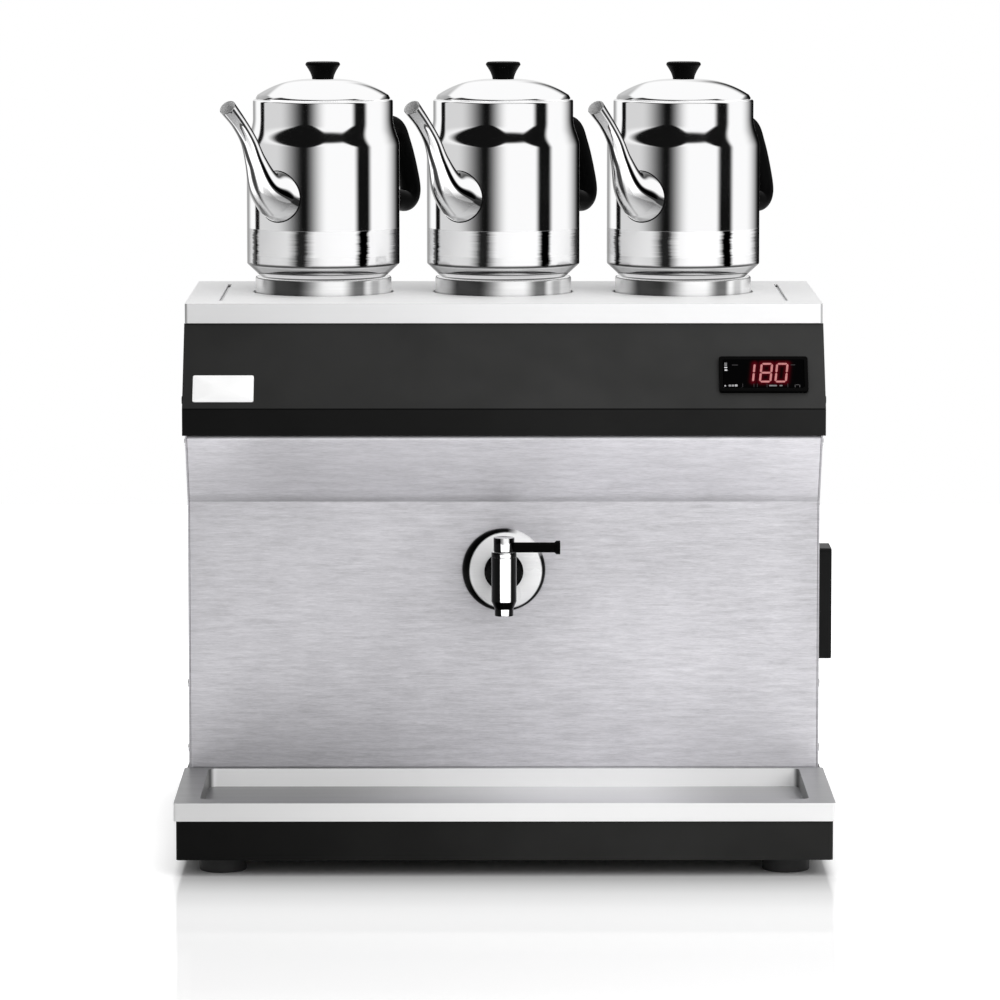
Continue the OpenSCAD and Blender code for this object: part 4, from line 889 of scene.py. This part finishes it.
class TEAMAKER_OT_pots(bpy.types.Operator):
    """Spin the three pot bodies: seat, chamfer, straight body, cosine shoulder, neck and rim"""
    bl_idname = "teamaker.pots"
    bl_label = "Pot bodies"

    def execute(self, context):
        p, arm = context.scene.tea_pot, context.scene.tea_arms
        short = 0.001
        foot = bent([(0, -p.spigot_depth), (p.spigot_radius, -p.spigot_depth), (p.spigot_radius, 0),
                     (p.seat_radius, 0), (p.body_radius, p.chamfer_height),
                     (p.body_radius, p.shoulder_height - short)], p.rounding)
        wall = np.linspace(foot[-2], foot[-1], 12)
        t = np.linspace(0.0, 1.0, 40)
        shoulder = np.stack([shoulder_radius(p, t), p.shoulder_height + p.shoulder_rise * t], axis=1)
        rim = bent([(p.neck_radius, p.shoulder_height + p.shoulder_rise + short), (p.neck_radius, p.mouth_height),
                    (p.neck_radius - p.rim, p.mouth_height)], p.rounding)
        body = turned(walled(np.vstack([foot[:-1], wall[1:], shoulder, rim]), p.wall), 192)

        # The strainer is a set of dark tiles inside the wall: painted shade that stands for its holes.
        hole, corner, ring, thin, above = 0.005, 0.0024, 0.009, 0.0003, 0.004
        a = np.arange(6) * np.pi / 3
        spots = np.vstack([[(0.0, 0.0)], ring * np.stack([np.cos(a), np.sin(a)], axis=1)])
        flat, faces = tiles(spots[:, None, :] + round_box(hole, hole, corner, 4), 0.0, thin)
        deep = p.body_radius - p.wall - thin
        inside = np.stack([np.sqrt(deep ** 2 - flat[:, 0] ** 2) - flat[:, 2], flat[:, 0],
                           arm.spout_root + above + flat[:, 1]], axis=1)
        strainer = about_z(inside, -math.pi / 2 - arm.spout_turn)
        for n in POTS:
            unmirrored(piece(f"pot_body_{n}_spun", [skin(body + pot_axis(n))], "pot_steel", f"pot_{n}",
                             (f"pot_body_{n}",)),
                       piece(f"pot_strainer_hole_shade_{n}", [(strainer + pot_axis(n), faces)], "seam_and_hole_shade", f"pot_{n}"))
        return {"FINISHED"}


class TEAMAKER_OT_lids(bpy.types.Operator):
    """Spin the three lids and turn their knobs"""
    bl_idname = "teamaker.lids"
    bl_label = "Lids and knobs"

    def execute(self, context):
        p, d = context.scene.tea_pot, context.scene.tea_lid
        low, rim = p.mouth_height + d.band, d.edge_radius - d.lean
        top = low + d.dome
        hem = bent([(d.plug_radius, p.mouth_height - d.plug_depth), (d.plug_radius, p.mouth_height),
                    (d.edge_radius, p.mouth_height), (rim, low)], p.wall + 0.0002)
        s = np.linspace(1.0, 0.0, 48)
        dome = np.stack([d.knob_foot + (rim - d.knob_foot) * s, low + d.dome * (1 - s ** 2.3)], axis=1)
        lid = turned(walled(np.vstack([hem[:-1], dome, [(0.0, top)]]), p.wall), 192)
        s = np.linspace(0.0, 1.0, 24)
        flare = d.knob_height * 0.82
        side = np.stack([d.knob_foot + (d.knob_top - d.knob_foot) * s ** 1.6, flare * s], axis=1)
        brim = bent([(d.knob_top, flare), (d.knob_top, d.knob_height), (0.0, d.knob_height)],
                    d.knob_height - flare - 0.0004, 8)
        knob = turned(np.vstack([[(0.0, 0.0)], side, brim[1:]]), 96)
        for n in POTS:
            axis = pot_axis(n)
            unmirrored(piece(f"pot_lid_{n}_spun", [skin(lid + axis)], "lid_steel", f"lid_{n}",
                             (f"pot_lid_{n}",)),
                       piece(f"lid_knob_{n}_turned", [skin(knob + axis + [0, 0, top])], "handle_black", f"lid_{n}",
                             (f"lid_knob_{n}",)))
        return {"FINISHED"}


# Each row is a spout's reach, rise and half thickness, as shares of the whole reach, rise and tip
SPOUT_SHAPE = np.array([
    [-0.17, 0.01, 1.57], [0.04, 0.065, 1.4], [0.265, 0.18, 0.99], [0.435, 0.415, 0.64], [0.575, 0.64, 0.49],
    [0.77, 0.83, 0.45], [1.0, 1.0, 0.5]])


def leaving(points, wall_radius, a):
    """Share of a swept tube's length at which each of its columns leaves a round wall of the given radius."""
    t = np.linspace(0.0, 0.6, 400)
    grid = swept(points, t[:, None], a)
    reach = np.hypot(grid[..., 0], grid[..., 1])
    last = len(t) - 1 - np.argmax((reach < wall_radius)[::-1], axis=0)
    column = np.arange(len(a))
    before, after = reach[last, column], reach[np.minimum(last + 1, len(t) - 1), column]
    part = np.clip((wall_radius - before) / np.maximum(after - before, 1e-9), 0.0, 1.0)
    return t[last] + part * (t[1] - t[0])


class TEAMAKER_OT_spouts(bpy.types.Operator):
    """Sweep the three gooseneck spouts from the pot's wall to the tip, with a seam around each root"""
    bl_idname = "teamaker.spouts"
    bl_label = "Spouts"

    def execute(self, context):
        p, arm = context.scene.tea_pot, context.scene.tea_arms
        reach, rise, half = SPOUT_SHAPE.T
        outer = np.stack([p.body_radius + arm.spout_reach * reach, arm.spout_root + arm.spout_rise * rise,
                          arm.spout_tip * half, arm.spout_tip * half], axis=1)
        a = around(96)
        run = np.linspace(0.0, 1.0, 150)[:, None]

        def tube_wall(line):
            start = leaving(line, p.body_radius - 0.0001, a)
            return swept(line, start + (1 - start) * run, a)

        out, back = tube_wall(outer), tube_wall(outer - [0.0, 0.0, p.wall, p.wall])[::-1]
        tube = np.concatenate([out, (out[-1:] + back[:1]) / 2 + (out[-1:] - out[-2:-1]) * 0.25, back])
        rim, seam_radius = out[0], 0.00085
        ahead = np.roll(rim, -1, axis=0) - np.roll(rim, 1, axis=0)
        ahead /= np.linalg.norm(ahead, axis=1, keepdims=True)
        away = rim * [1, 1, 0]
        away /= np.linalg.norm(away, axis=1, keepdims=True)
        beside = np.cross(ahead, away)
        b = around(10)[None, :, None]
        seam = rim[:, None] + seam_radius * (np.cos(b) * away[:, None] + np.sin(b) * beside[:, None])
        turn = -math.pi / 2 - arm.spout_turn
        for n in POTS:
            axis = pot_axis(n)
            spout = piece(f"pot_spout_{n}_swept", [skin(about_z(tube, turn) + axis, wrap_rows=True)], "spout_steel",
                          f"pot_{n}", (f"pot_spout_{n}",), sharp=50.0)
            count = len(spout.data.vertices)
            if count != tube.shape[0] * tube.shape[1]:
                raise RuntimeError("The spout's rows have run together")
            keep_numbers(spout.data, "inside", np.arange(count) >= (len(out) + 1) * len(a))
            unmirrored(spout, piece(f"spout_seam_{n}", [skin(about_z(seam, turn) + axis, wrap_rows=True)],
                                    "seam_and_hole_shade", f"pot_{n}"))
        return {"FINISHED"}


class TEAMAKER_OT_handles(bpy.types.Operator):
    """Sweep the three moulded handles and dress their ferrules"""
    bl_idname = "teamaker.handles"
    bl_label = "Handles"

    def execute(self, context):
        p, arm = context.scene.tea_pot, context.scene.tea_arms
        top = arm.handle_low + arm.handle_height
        near = shoulder_radius(p, (top - p.shoulder_height) / p.shoulder_rise)
        g, f = arm.grip / 2, arm.ferrule
        r, reach, low, tall = p.body_radius, arm.handle_reach, arm.handle_low, arm.handle_height
        line = [(near + f, top, 0.85 * g, 0.8 * g), (near + f + 0.005, top, 0.88 * g, 0.82 * g),
                (near + f + 0.014, top, 0.9 * g, 0.85 * g), (r + 0.6 * reach, top - 0.045 * tall, g, g),
                (r + 0.78 * reach, top - 0.28 * tall, g, g), (r + 0.93 * reach, low + 0.38 * tall, g, g),
                (r + reach, low + 0.11 * tall, g, g), (r + 0.90 * reach, low - 0.015 * tall, g, g),
                (r + 0.66 * reach, low, g, g), (r + f + 0.014, low, 0.95 * g, 0.85 * g),
                (r + f, low, 0.85 * g, 0.8 * g)]
        bar = swept(line, np.linspace(0.0, 1.0, 160)[:, None], around(48))
        first, last = bar[:1].mean(axis=1, keepdims=True), bar[-1:].mean(axis=1, keepdims=True)
        drawn_in = 0.93
        closed = np.concatenate([first + 0 * bar[:1], first + drawn_in * (bar[:1] - first), bar[1:-1],
                                 last + drawn_in * (bar[-1:] - last), last + 0 * bar[-1:]])
        turn = math.pi / 2 - arm.spout_turn
        for n in POTS:
            unmirrored(piece(f"pot_handle_{n}_moulded", [skin(about_z(closed, turn) + pot_axis(n))], "handle_black",
                             f"pot_{n}", (f"pot_handle_{n}",), sharp=40.0),
                       dressed(f"handle_ferrules_{n}", "pot_steel", 0.0002))
        return {"FINISHED"}


class TEAMAKER_OT_tap(bpy.types.Operator):
    """Turn the tap: barrel and nozzle, tail and ring, cover disc, gland nut, lever hub and lever"""
    bl_idname = "teamaker.tap"
    bl_label = "Tap"

    def execute(self, context):
        body_low, body_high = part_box("tap_body")
        disc_low, disc_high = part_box("tap_escutcheon")
        nut_low, nut_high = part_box("tap_gland_nut")
        hub_low, hub_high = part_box("tap_lever_hub")
        rod_low, rod_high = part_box("tap_lever_rod")
        y, z = (hub_low.y + hub_high.y) / 2, (disc_low.z + disc_high.z) / 2
        foot, top = body_low.z, body_high.z
        barrel_r, nozzle_r, bore_r, tail_r, ring_r = 0.01085, 0.0081, 0.005, 0.01045, 0.017
        bore_top, nozzle_end, nozzle_top, soft, crisp = foot + 0.018, foot + 0.0061, foot + 0.0127, 0.0005, 0.0001
        barrel = np.vstack([
            [(0.0, bore_top)],
            bent([(bore_r, bore_top), (bore_r, foot), (nozzle_r, foot), (nozzle_r, nozzle_end),
                  (barrel_r, nozzle_top), (barrel_r, top - 0.001)], soft),
            bent([(barrel_r, top - 0.0008), (barrel_r, top), (0.0, top)], crisp)])
        back, ring_thick, ring_bevel = body_high.y - y, 0.005, 0.002
        ring_front = disc_low.y - ring_thick - y
        ring_back = ring_front + ring_thick
        tail = bent([(0.0, 0.0), (tail_r, 0.0), (tail_r, ring_front), (ring_r - ring_bevel, ring_front),
                     (ring_r, ring_front + ring_bevel), (ring_r, ring_back), (tail_r, ring_back), (tail_r, back),
                     (0.0, back)], soft)
        stem = np.array([0.0, y, 0.0])
        tap = piece("tap_body_turned", [skin(turned(barrel, 128) + stem),
                                        skin(along_y(turned(tail, 128)) + [0, y, z])],
                    "tap_chrome", "machine", ("tap_body",))
        # Painted reflection: the tail and its ring behind the barrel are marked dark, for the barrel that they
        # mirror.
        keep_numbers(tap.data, "shade", corners_of(tap.data)[:, 1] > y + barrel_r + 0.001)

        rim_r, tall, edge = (disc_high.x - disc_low.x) / 2, disc_high.y - disc_low.y, 0.002
        flat = ring_r + 0.001
        t = np.linspace(0.0, np.pi / 2, 40)
        dome = np.stack([flat + (rim_r - flat) * np.cos(t), edge + (tall - edge) * np.sin(t)], axis=1)
        disc = walled(np.vstack([[(rim_r, 0.0)], dome, [(tail_r + 0.0002, tall)]]), 0.001)
        disc = along_y(turned(disc)) * [1, -1, 1] + [0, disc_high.y, z]
        cover = piece("tap_cover_disc", [skin(disc, wrap_rows=True)], "disc_chrome", "machine",
                      ("tap_escutcheon",))
        # Painted reflection: a dark ring round the cover disc's edge, off the middle, with a gap at the upper right.
        across, _, up = (corners_of(cover.data) - [0, 0, z]).T
        aside, side_gap, end_gap, gap_turn = 0.0017, 0.0049, 0.0029, 52.0
        oval = np.hypot((across - aside) / (rim_r - side_gap), up / (rim_r - end_gap))
        from_gap = np.abs(np.degrees(np.arctan2(up, across)) - gap_turn)
        keep_numbers(cover.data, "shade", np.clip((oval - 0.985) / 0.03, 0.0, 1.0)
                     * np.clip((from_gap - 18.0) / 14.0, 0.0, 1.0))

        stem_r, neck_r = 0.0041, 0.0065
        nut = bent([(stem_r, nut_low.z), (neck_r, nut_low.z), (neck_r, top), (barrel_r, top),
                    (barrel_r, nut_high.z), (stem_r, nut_high.z)], crisp)
        piece("tap_gland_nut_turned", [skin(turned(nut, 128) + stem, wrap_rows=True)], "tap_chrome", "machine",
              ("tap_gland_nut",))

        hub_r, worn = (hub_high.y - hub_low.y) / 2, 0.0004
        hub = bent([(0.0, hub_low.z), (hub_r, hub_low.z), (hub_r, hub_high.z), (0.0, hub_high.z)], worn)
        piece("tap_lever_hub_turned", [skin(turned(hub, 128) + stem)], "tap_chrome", "tap_lever",
              ("tap_lever_hub",))

        rod_r, tip_r, reach, drop = 0.0044, 0.00595, rod_high.x - rod_low.x, 0.0012
        rod = bent([(0.0, 0.0), (rod_r, 0.0), (rod_r, reach - 0.005), (tip_r, reach - 0.0034),
                    (tip_r, reach), (0.0, reach)], worn)
        rod_z = (rod_low.z + rod_high.z) / 2 - drop
        piece("tap_lever_rod_turned", [skin(along_x(turned(rod, 64)) + [rod_low.x, y, rod_z])], "handle_black",
              "tap_lever", ("tap_lever_rod",))
        return {"FINISHED"}


STROKES = {"1": "bc", "8": "abcdefg", "0": "abcdef"}
STROKE_ENDS = {"a": ((0, 2), (1, 2)), "b": ((1, 2), (1, 1)), "c": ((1, 1), (1, 0)), "d": ((0, 0), (1, 0)),
               "e": ((0, 1), (0, 0)), "f": ((0, 2), (0, 1)), "g": ((0, 1), (1, 1))}
# Plain marks on the display: place across and down as shares of the frame, width, height, brightness
MARKS = ((0.076, 0.205, 0.0024, 0.0011, 0.30), (0.076, 0.255, 0.0024, 0.0011, 0.40),
         (0.076, 0.325, 0.0026, 0.0012, 1.0), (0.078, 0.400, 0.0024, 0.0013, 1.0),
         (0.180, 0.255, 0.0050, 0.0008, 0.05), (0.832, 0.250, 0.0038, 0.0008, 0.05),
         (0.118, 0.842, 0.0022, 0.0019, 0.45), (0.152, 0.842, 0.0022, 0.0019, 0.45),
         (0.189, 0.838, 0.0024, 0.0021, 0.60), (0.262, 0.835, 0.0005, 0.0036, 0.05),
         (0.535, 0.835, 0.0005, 0.0036, 0.05), (0.768, 0.835, 0.0005, 0.0036, 0.05),
         (0.388, 0.835, 0.0005, 0.0032, 0.05), (0.426, 0.835, 0.0005, 0.0032, 0.05),
         (0.602, 0.842, 0.0068, 0.0014, 0.30), (0.692, 0.842, 0.0026, 0.0013, 0.26),
         (0.850, 0.855, 0.0006, 0.0024, 0.12), (0.902, 0.855, 0.0006, 0.0024, 0.12),
         (0.876, 0.818, 0.0030, 0.0006, 0.10), (0.066, 0.848, 0.0014, 0.0014, 0.6))


def figure_strokes(text, left, foot, width, tall, stroke, pitch):
    """Ends of the lit strokes of each figure: seven bars between the corners of two stacked squares."""
    bars = np.array([(np.array(STROKE_ENDS[k]) * [width, tall / 2] + [left + pitch * i, foot]).tolist()
                     for i, mark in enumerate(text) for k in STROKES[mark]])
    along = bars[:, 1] - bars[:, 0]
    gap = along / np.linalg.norm(along, axis=1, keepdims=True) * stroke * 0.16
    return np.stack([bars[:, 0] + gap, bars[:, 1] - gap], axis=1)


def stroke_tiles(bars, stroke):
    """Pointed bar around each stroke: its ends, and four points half a stroke in and to each side."""
    a, b = bars[:, 0], bars[:, 1]
    along = (b - a) / np.linalg.norm(b - a, axis=1, keepdims=True)
    side = np.stack([-along[:, 1], along[:, 0]], axis=1)
    h = stroke / 2
    return np.stack([a, a + h * (along - side), b - h * (along + side), b, b - h * (along - side),
                     a + h * (along + side)], axis=1)


def slanted(points, foot, lean=0.11):
    """Points leaning to the right with their height."""
    return points + np.stack([(points[..., 1] - foot) * lean, 0 * points[..., 1]], axis=-1)


class TEAMAKER_OT_controls(bpy.types.Operator):
    """Make the thermostat's window with lit figures and plain marks, and the bare label plate"""
    bl_idname = "teamaker.controls"
    bl_label = "Thermostat and label"

    def execute(self, context):
        s = context.scene.tea_controls
        c, d = math.cos(s.slope_tilt), math.sin(s.slope_tilt)
        axes = np.array([[1.0, 0.0, 0.0], [0.0, c, d], [0.0, -d, c]])
        origin = np.array(s.slope_top)

        def on_slope(points):
            return points @ axes + origin

        def slope_box(node):
            local = (corners_of(NODES[node].data) - origin) @ axes.T
            return local.min(axis=0), local.max(axis=0)

        dressed("controller_bezel", "bezel_black", 0.0006, 3)
        low, high = slope_box("controller_window")
        frame_low, frame_high = slope_box("controller_bezel")
        face = high[2]
        wide, tall = frame_high[0] - frame_low[0], frame_high[1] - frame_low[1]

        def at(u, v):
            return np.array([frame_low[0] + wide * u, frame_high[1] - tall * v])

        def raised(name, outlines, height, look, levels):
            corners, faces = tiles(outlines, face + 0.00002, face + height)
            made = piece(name, [(on_slope(corners), faces)], look, "machine")
            if len(corners) != len(made.data.vertices):
                raise RuntimeError("The display's strokes or marks touch each other")
            keep_numbers(made.data, "level", np.repeat(levels, 2 * outlines.shape[1]))

        left, foot = at(0.283, 0.727)
        pitch, first_shift = wide * 0.1735, wide * 0.022
        bars = figure_strokes("180", left, foot, s.figure_width, s.figure_height, s.stroke, pitch)
        bars[:len(STROKES["1"]), :, 0] -= first_shift
        raised("display_figures", slanted(stroke_tiles(bars, s.stroke), foot), 0.00010, "lit_figures",
               np.ones(len(bars)))

        # Painted glow: the glass around the lit strokes glows, fading with the distance from them.
        x, y = np.linspace(low[0], high[0], 181), np.linspace(low[1], high[1], 73)
        grid = np.stack(np.meshgrid(x, y), axis=-1)
        leaning, glow_reach = slanted(bars, foot), 0.0025
        a, along = leaning[:, 0], leaning[:, 1] - leaning[:, 0]
        rel = grid[:, :, None, :] - a
        run = np.clip((rel * along).sum(-1) / (along ** 2).sum(-1), 0.0, 1.0)
        gap = np.linalg.norm(rel - run[..., None] * along, axis=-1).min(axis=-1)
        sheet = np.concatenate([grid, np.full(grid.shape[:2] + (1,), face)], axis=-1)
        glass = piece("display_window", [skin(on_slope(sheet), wrap_columns=False)], "window_glass", "machine",
                      ("controller_window",), closed=False)
        thick = glass.modifiers.new("Glass thickness", "SOLIDIFY")
        thick.thickness = 0.001
        thick.offset = -1.0
        keep_numbers(glass.data, "glow", np.exp(-(gap / glow_reach) ** 2).ravel())

        # The printed marks glow at their stored levels: painted light.
        spots = np.array([round_box(w, h, min(w, h) * 0.3, 4) + at(u, v) for u, v, w, h, _ in MARKS])
        raised("display_marks", spots, 0.00008, "printed_marks", [level for *_, level in MARKS])

        w, h, corner = s.label_width, s.label_height, 0.0016
        rings = [np.insert(round_box(w - 2 * inset, h - 2 * inset, corner - inset), 2, level, axis=1)
                 for inset, level in ((0.0, 0.0), (0.0, 0.0005), (0.0001, 0.0007), (0.0003, 0.0008))]
        plate = np.stack([rings[0] * [0, 0, 1], *rings, rings[-1] * [0, 0, 1]])
        piece("label_plate", [skin(on_slope(plate + [s.label_x, -s.label_down, 0.0]))], "label_plate", "machine",
              sharp=60.0)
        return {"FINISHED"}


class TEAMAKER_OT_fittings(bpy.types.Operator):
    """Dress the feet, screws and rear fittings, and finish the pieces inside"""
    bl_idname = "teamaker.fittings"
    bl_label = "Fittings"

    def execute(self, context):
        low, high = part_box("feet")
        radius, rounding = 0.020, 0.0012
        foot = bent([(0.0, low.z), (radius, low.z), (radius, high.z), (0.0, high.z)], rounding)
        places = [(x, y) for x in (low.x + radius, high.x - radius) for y in (low.y + radius, high.y - radius)]
        piece("feet_moulded", [skin(turned(foot, 96) + [*place, 0.0]) for place in places], "foot_rubber",
              "machine", ("feet",))
        dressed("case_screws", "screw_steel", 0.0001)
        dressed("black_screws", "base_black", 0.0001)
        dressed("cable_gland", "case_black", 0.0004)
        dressed("water_inlet", "screw_steel", 0.0004)
        kept = {
            "tank_steel": ("boiler_tank", "tank_lid", "tank_supports", "temperature_probe", "contactor_rail",
                           "foot_studs", "controller_clips"),
            "brass": ("heater_plugs", "heater_nuts", "probe_gland", "tap_tail_nut", "tap_plug"),
            "heater_sheath": ("heater_loops",),
            "foot_rubber": ("heater_gaskets", "tap_gaskets"),
            "white_plastic": ("safety_cutout", "terminal_block"),
            "case_black": ("contactor", "controller_case"),
        }
        for look, nodes in kept.items():
            for node in nodes:
                coated(NODES[node].data, look)
        return {"FINISHED"}


# Stage

def rays(tree, *kinds):
    """Values that are 1 for each of the named kinds of ray."""
    path = wire(tree, "ShaderNodeLightPath")
    return [Value(tree, path.outputs[f"Is {kind} Ray"]) for kind in kinds]


def room_shade(tree):
    """Brightness of the room that metal mirrors: white, with soft upright dark bands by direction, a dark bar
    above them that hangs lower near the bands, and a grey back."""
    x, y, z = split(output(tree, "ShaderNodeTexCoord", key="Generated"))
    side = x.maths("ARCTAN2", y * -1.0) * (180 / math.pi)
    rise = z.maths("ARCSINE") * (180 / math.pi)

    def below(start, end):
        return rise.eased(1.0, 0.0, start, end)

    ramp = side.eased(0.33, 1.0, -75.0, -29.0) * side.stripe(-114.0, -108.0, -26.0, 9.0)
    wide = (ramp | side.stripe(106.0, 156.0, 173.0, 179.0)) * below(12.0, 26.0)
    narrow = side.stripe(48.0, 58.0, 72.0, 82.0) | side.stripe(-126.0, -121.0, -114.0, -107.0)
    near = side.spread(0.0, 1.0, -95.0, -36.0)
    hang = (near * near).spread(24.0, 7.0) + side.eased(0.0, 23.0, -24.0, 6.0) + side.eased(0.0, -23.0, 33.0, 62.0)
    bar = (rise - hang).eased(0.0, 1.0, -3.0, 4.0) * below(46.0, 52.0) * side.stripe(-118.0, -100.0, 72.0, 82.0)
    back = side.spread(0.0, 0.2, 140.0, 150.0) | side.spread(0.2, 0.0, -150.0, -140.0)
    return (wide | narrow * below(30.0, 40.0) | bar | back * below(10.0, 17.0)).spread(1.0, 0.006)


class TEAMAKER_OT_stage(bpy.types.Operator):
    """Set up the camera, the soft lamps, the room and the pale floor"""
    bl_idname = "teamaker.stage"
    bl_label = "Stage"

    def execute(self, context):
        s = context.scene.tea_stage
        self.camera(context.scene, s)
        self.room(context.scene, s)
        self.lamp("Overhead softbox", (0.45, -0.75, 2.3), (0.0, -0.02, 0.3), 2.2, s.key_power)
        self.lamp("Front softbox", (1.5, -3.1, 1.5), (0.0, 0.0, 0.2), 2.2, s.front_power)
        self.lamp("Side softbox", (1.15, -1.05, 0.75), (0.1, 0.0, 0.3), 0.7, s.fill_power)
        self.floor(s)
        context.scene.view_settings.view_transform = "Standard"
        return {"FINISHED"}

    def camera(self, scene, s):
        data = bpy.data.cameras.new("Camera")
        data.lens = s.lens
        data.sensor_width = 36.0
        data.clip_end = 100.0
        eye = bpy.data.objects.new("Camera", data)
        eye.location = s.eye
        eye.rotation_euler = (math.pi / 2 - s.pitch, 0.0, -s.yaw)
        scene.collection.objects.link(eye)
        scene.camera = eye

    def room(self, scene, s):
        world = bpy.data.worlds.new("Studio room")
        world.use_nodes = True
        tree = world.node_tree
        tree.nodes.clear()
        direct, through, glossy = rays(tree, "Camera", "Transmission", "Glossy")
        seen = direct | through
        plain = seen + (1.0 - seen) * s.room
        level = plain * (1.0 - glossy) + room_shade(tree) * glossy
        light = output(tree, "ShaderNodeBackground", {"Color": grey(1.0), "Strength": level})
        wire(tree, "ShaderNodeOutputWorld", {"Surface": light})
        world.cycles.sampling_method = "NONE"
        scene.world = world

    def lamp(self, name, place, aim, size, energy):
        data = bpy.data.lights.new(name, "AREA")
        data.size = size
        data.energy = energy
        lamp = bpy.data.objects.new(name, data)
        lamp.location = place
        x, y, z = np.array(aim) - np.array(place)
        lamp.rotation_euler = (math.atan2(math.hypot(x, y), -z), 0.0, math.atan2(y, x) - math.pi / 2)
        lamp.visible_glossy = False
        lamp.visible_camera = False
        bpy.context.scene.collection.objects.link(lamp)

    def floor(self, s):
        reach, count, drop = 2.6, 9, 0.0002
        x = np.linspace(-reach, reach, count)
        corners, faces = skin(np.stack([*np.meshgrid(x, x), np.full((count, count), -drop)], axis=-1),
                              wrap_columns=False)
        mesh = bpy.data.meshes.new("Pale floor")
        mesh.from_pydata(corners.tolist(), [], faces)
        made = bpy.data.materials.new("pale_floor")
        made.use_nodes = True
        tree = made.node_tree
        tree.nodes.clear()
        x, y, _ = split(output(tree, "ShaderNodeTexCoord", key="Object"))
        direct, glossy = rays(tree, "Camera", "Glossy")
        low, high = CAD_BOX
        ahead = low[1] - y
        narrowing = 1.0 + (ahead | 0.0) * 0.2
        beside = abs(x) * narrowing + low[0]
        outside = beside | y - high[1]
        front = y.spread(0.0, 1.0, -1.0, low[1] - 0.02) * beside.spread(1.0, 0.0, 0.04, 0.12)
        near = ahead.spread(0.105, 0.0, 0.02, 0.20) * ahead.spread(0.0, 1.0, -0.01, 0.01)
        gloss = front * (s.mirror + near) * direct
        # Lift: light from the floor itself, up to white, graded by the distance ahead of and beside the base. It is
        # smaller near the base, so the floor there is darker from painted shade as well as from the real shadow.
        lifts = ((0.24, 0.012, 0.08), (0.09, 0.08, 0.15), (-0.075, 0.176, 0.304), (0.7, 0.5, 1.5))
        lifted = sum(ahead.spread(0.0, *step) for step in lifts)
        clear = outside.spread(0.0, 0.55, -0.008, 0.002) + outside.spread(0.0, 0.45, 0.002, 0.07)
        matt = output(tree, "ShaderNodeBsdfDiffuse", {"Color": grey(0.80)})
        lift = output(tree, "ShaderNodeEmission", {"Strength": (direct | glossy) * (lifted | clear)})
        base = output(tree, "ShaderNodeAddShader", {0: matt, 1: lift})
        mirror = output(tree, "ShaderNodeBsdfGlossy", {"Roughness": 0.05})
        wire(tree, "ShaderNodeOutputMaterial", {
            "Surface": output(tree, "ShaderNodeMixShader", {0: gloss, 1: base, 2: mirror})})
        mesh.materials.append(made)
        floor = bpy.data.objects.new("Pale floor", mesh)
        bpy.context.scene.collection.objects.link(floor)


class TEAMAKER_PT_parts(bpy.types.Panel):
    """Steps and sizes of the tea maker"""
    bl_label = "Tea maker"
    bl_idname = "TEAMAKER_PT_parts"
    bl_space_type = "VIEW_3D"
    bl_region_type = "UI"
    bl_category = "Tea maker"

    def draw(self, context):
        for step in STEPS:
            self.layout.operator(step.bl_idname)
        for name, group in SIZES.items():
            box = self.layout.box()
            box.label(text=group.__doc__)
            for key in group.__annotations__:
                box.prop(getattr(context.scene, name), key, text=key.replace("_", " ").capitalize())


SIZES = {"tea_pot": TeaPotSizes, "tea_lid": TeaLidSizes, "tea_arms": TeaArmSizes, "tea_controls": TeaControlSizes,
         "tea_finishes": TeaFinishes, "tea_stage": TeaStage}
STEPS = (TEAMAKER_OT_panels, TEAMAKER_OT_collars, TEAMAKER_OT_pots, TEAMAKER_OT_lids, TEAMAKER_OT_spouts,
         TEAMAKER_OT_handles, TEAMAKER_OT_tap, TEAMAKER_OT_controls, TEAMAKER_OT_fittings, TEAMAKER_OT_stage)


def register():
    for part in (*SIZES.values(), *STEPS, TEAMAKER_PT_parts):
        bpy.utils.register_class(part)
    for name, group in SIZES.items():
        setattr(bpy.types.Scene, name, PointerProperty(type=group))


def unregister():
    for name in SIZES:
        delattr(bpy.types.Scene, name)
    for part in reversed((*SIZES.values(), *STEPS, TEAMAKER_PT_parts)):
        bpy.utils.unregister_class(part)


def main():
    register()
    bpy.ops.teamaker.panels()
    bpy.ops.teamaker.collars()
    bpy.ops.teamaker.pots()
    bpy.ops.teamaker.lids()
    bpy.ops.teamaker.spouts()
    bpy.ops.teamaker.handles()
    bpy.ops.teamaker.tap()
    bpy.ops.teamaker.controls()
    bpy.ops.teamaker.fittings()
    bpy.ops.teamaker.stage()


if __name__ == "__main__":
    main()
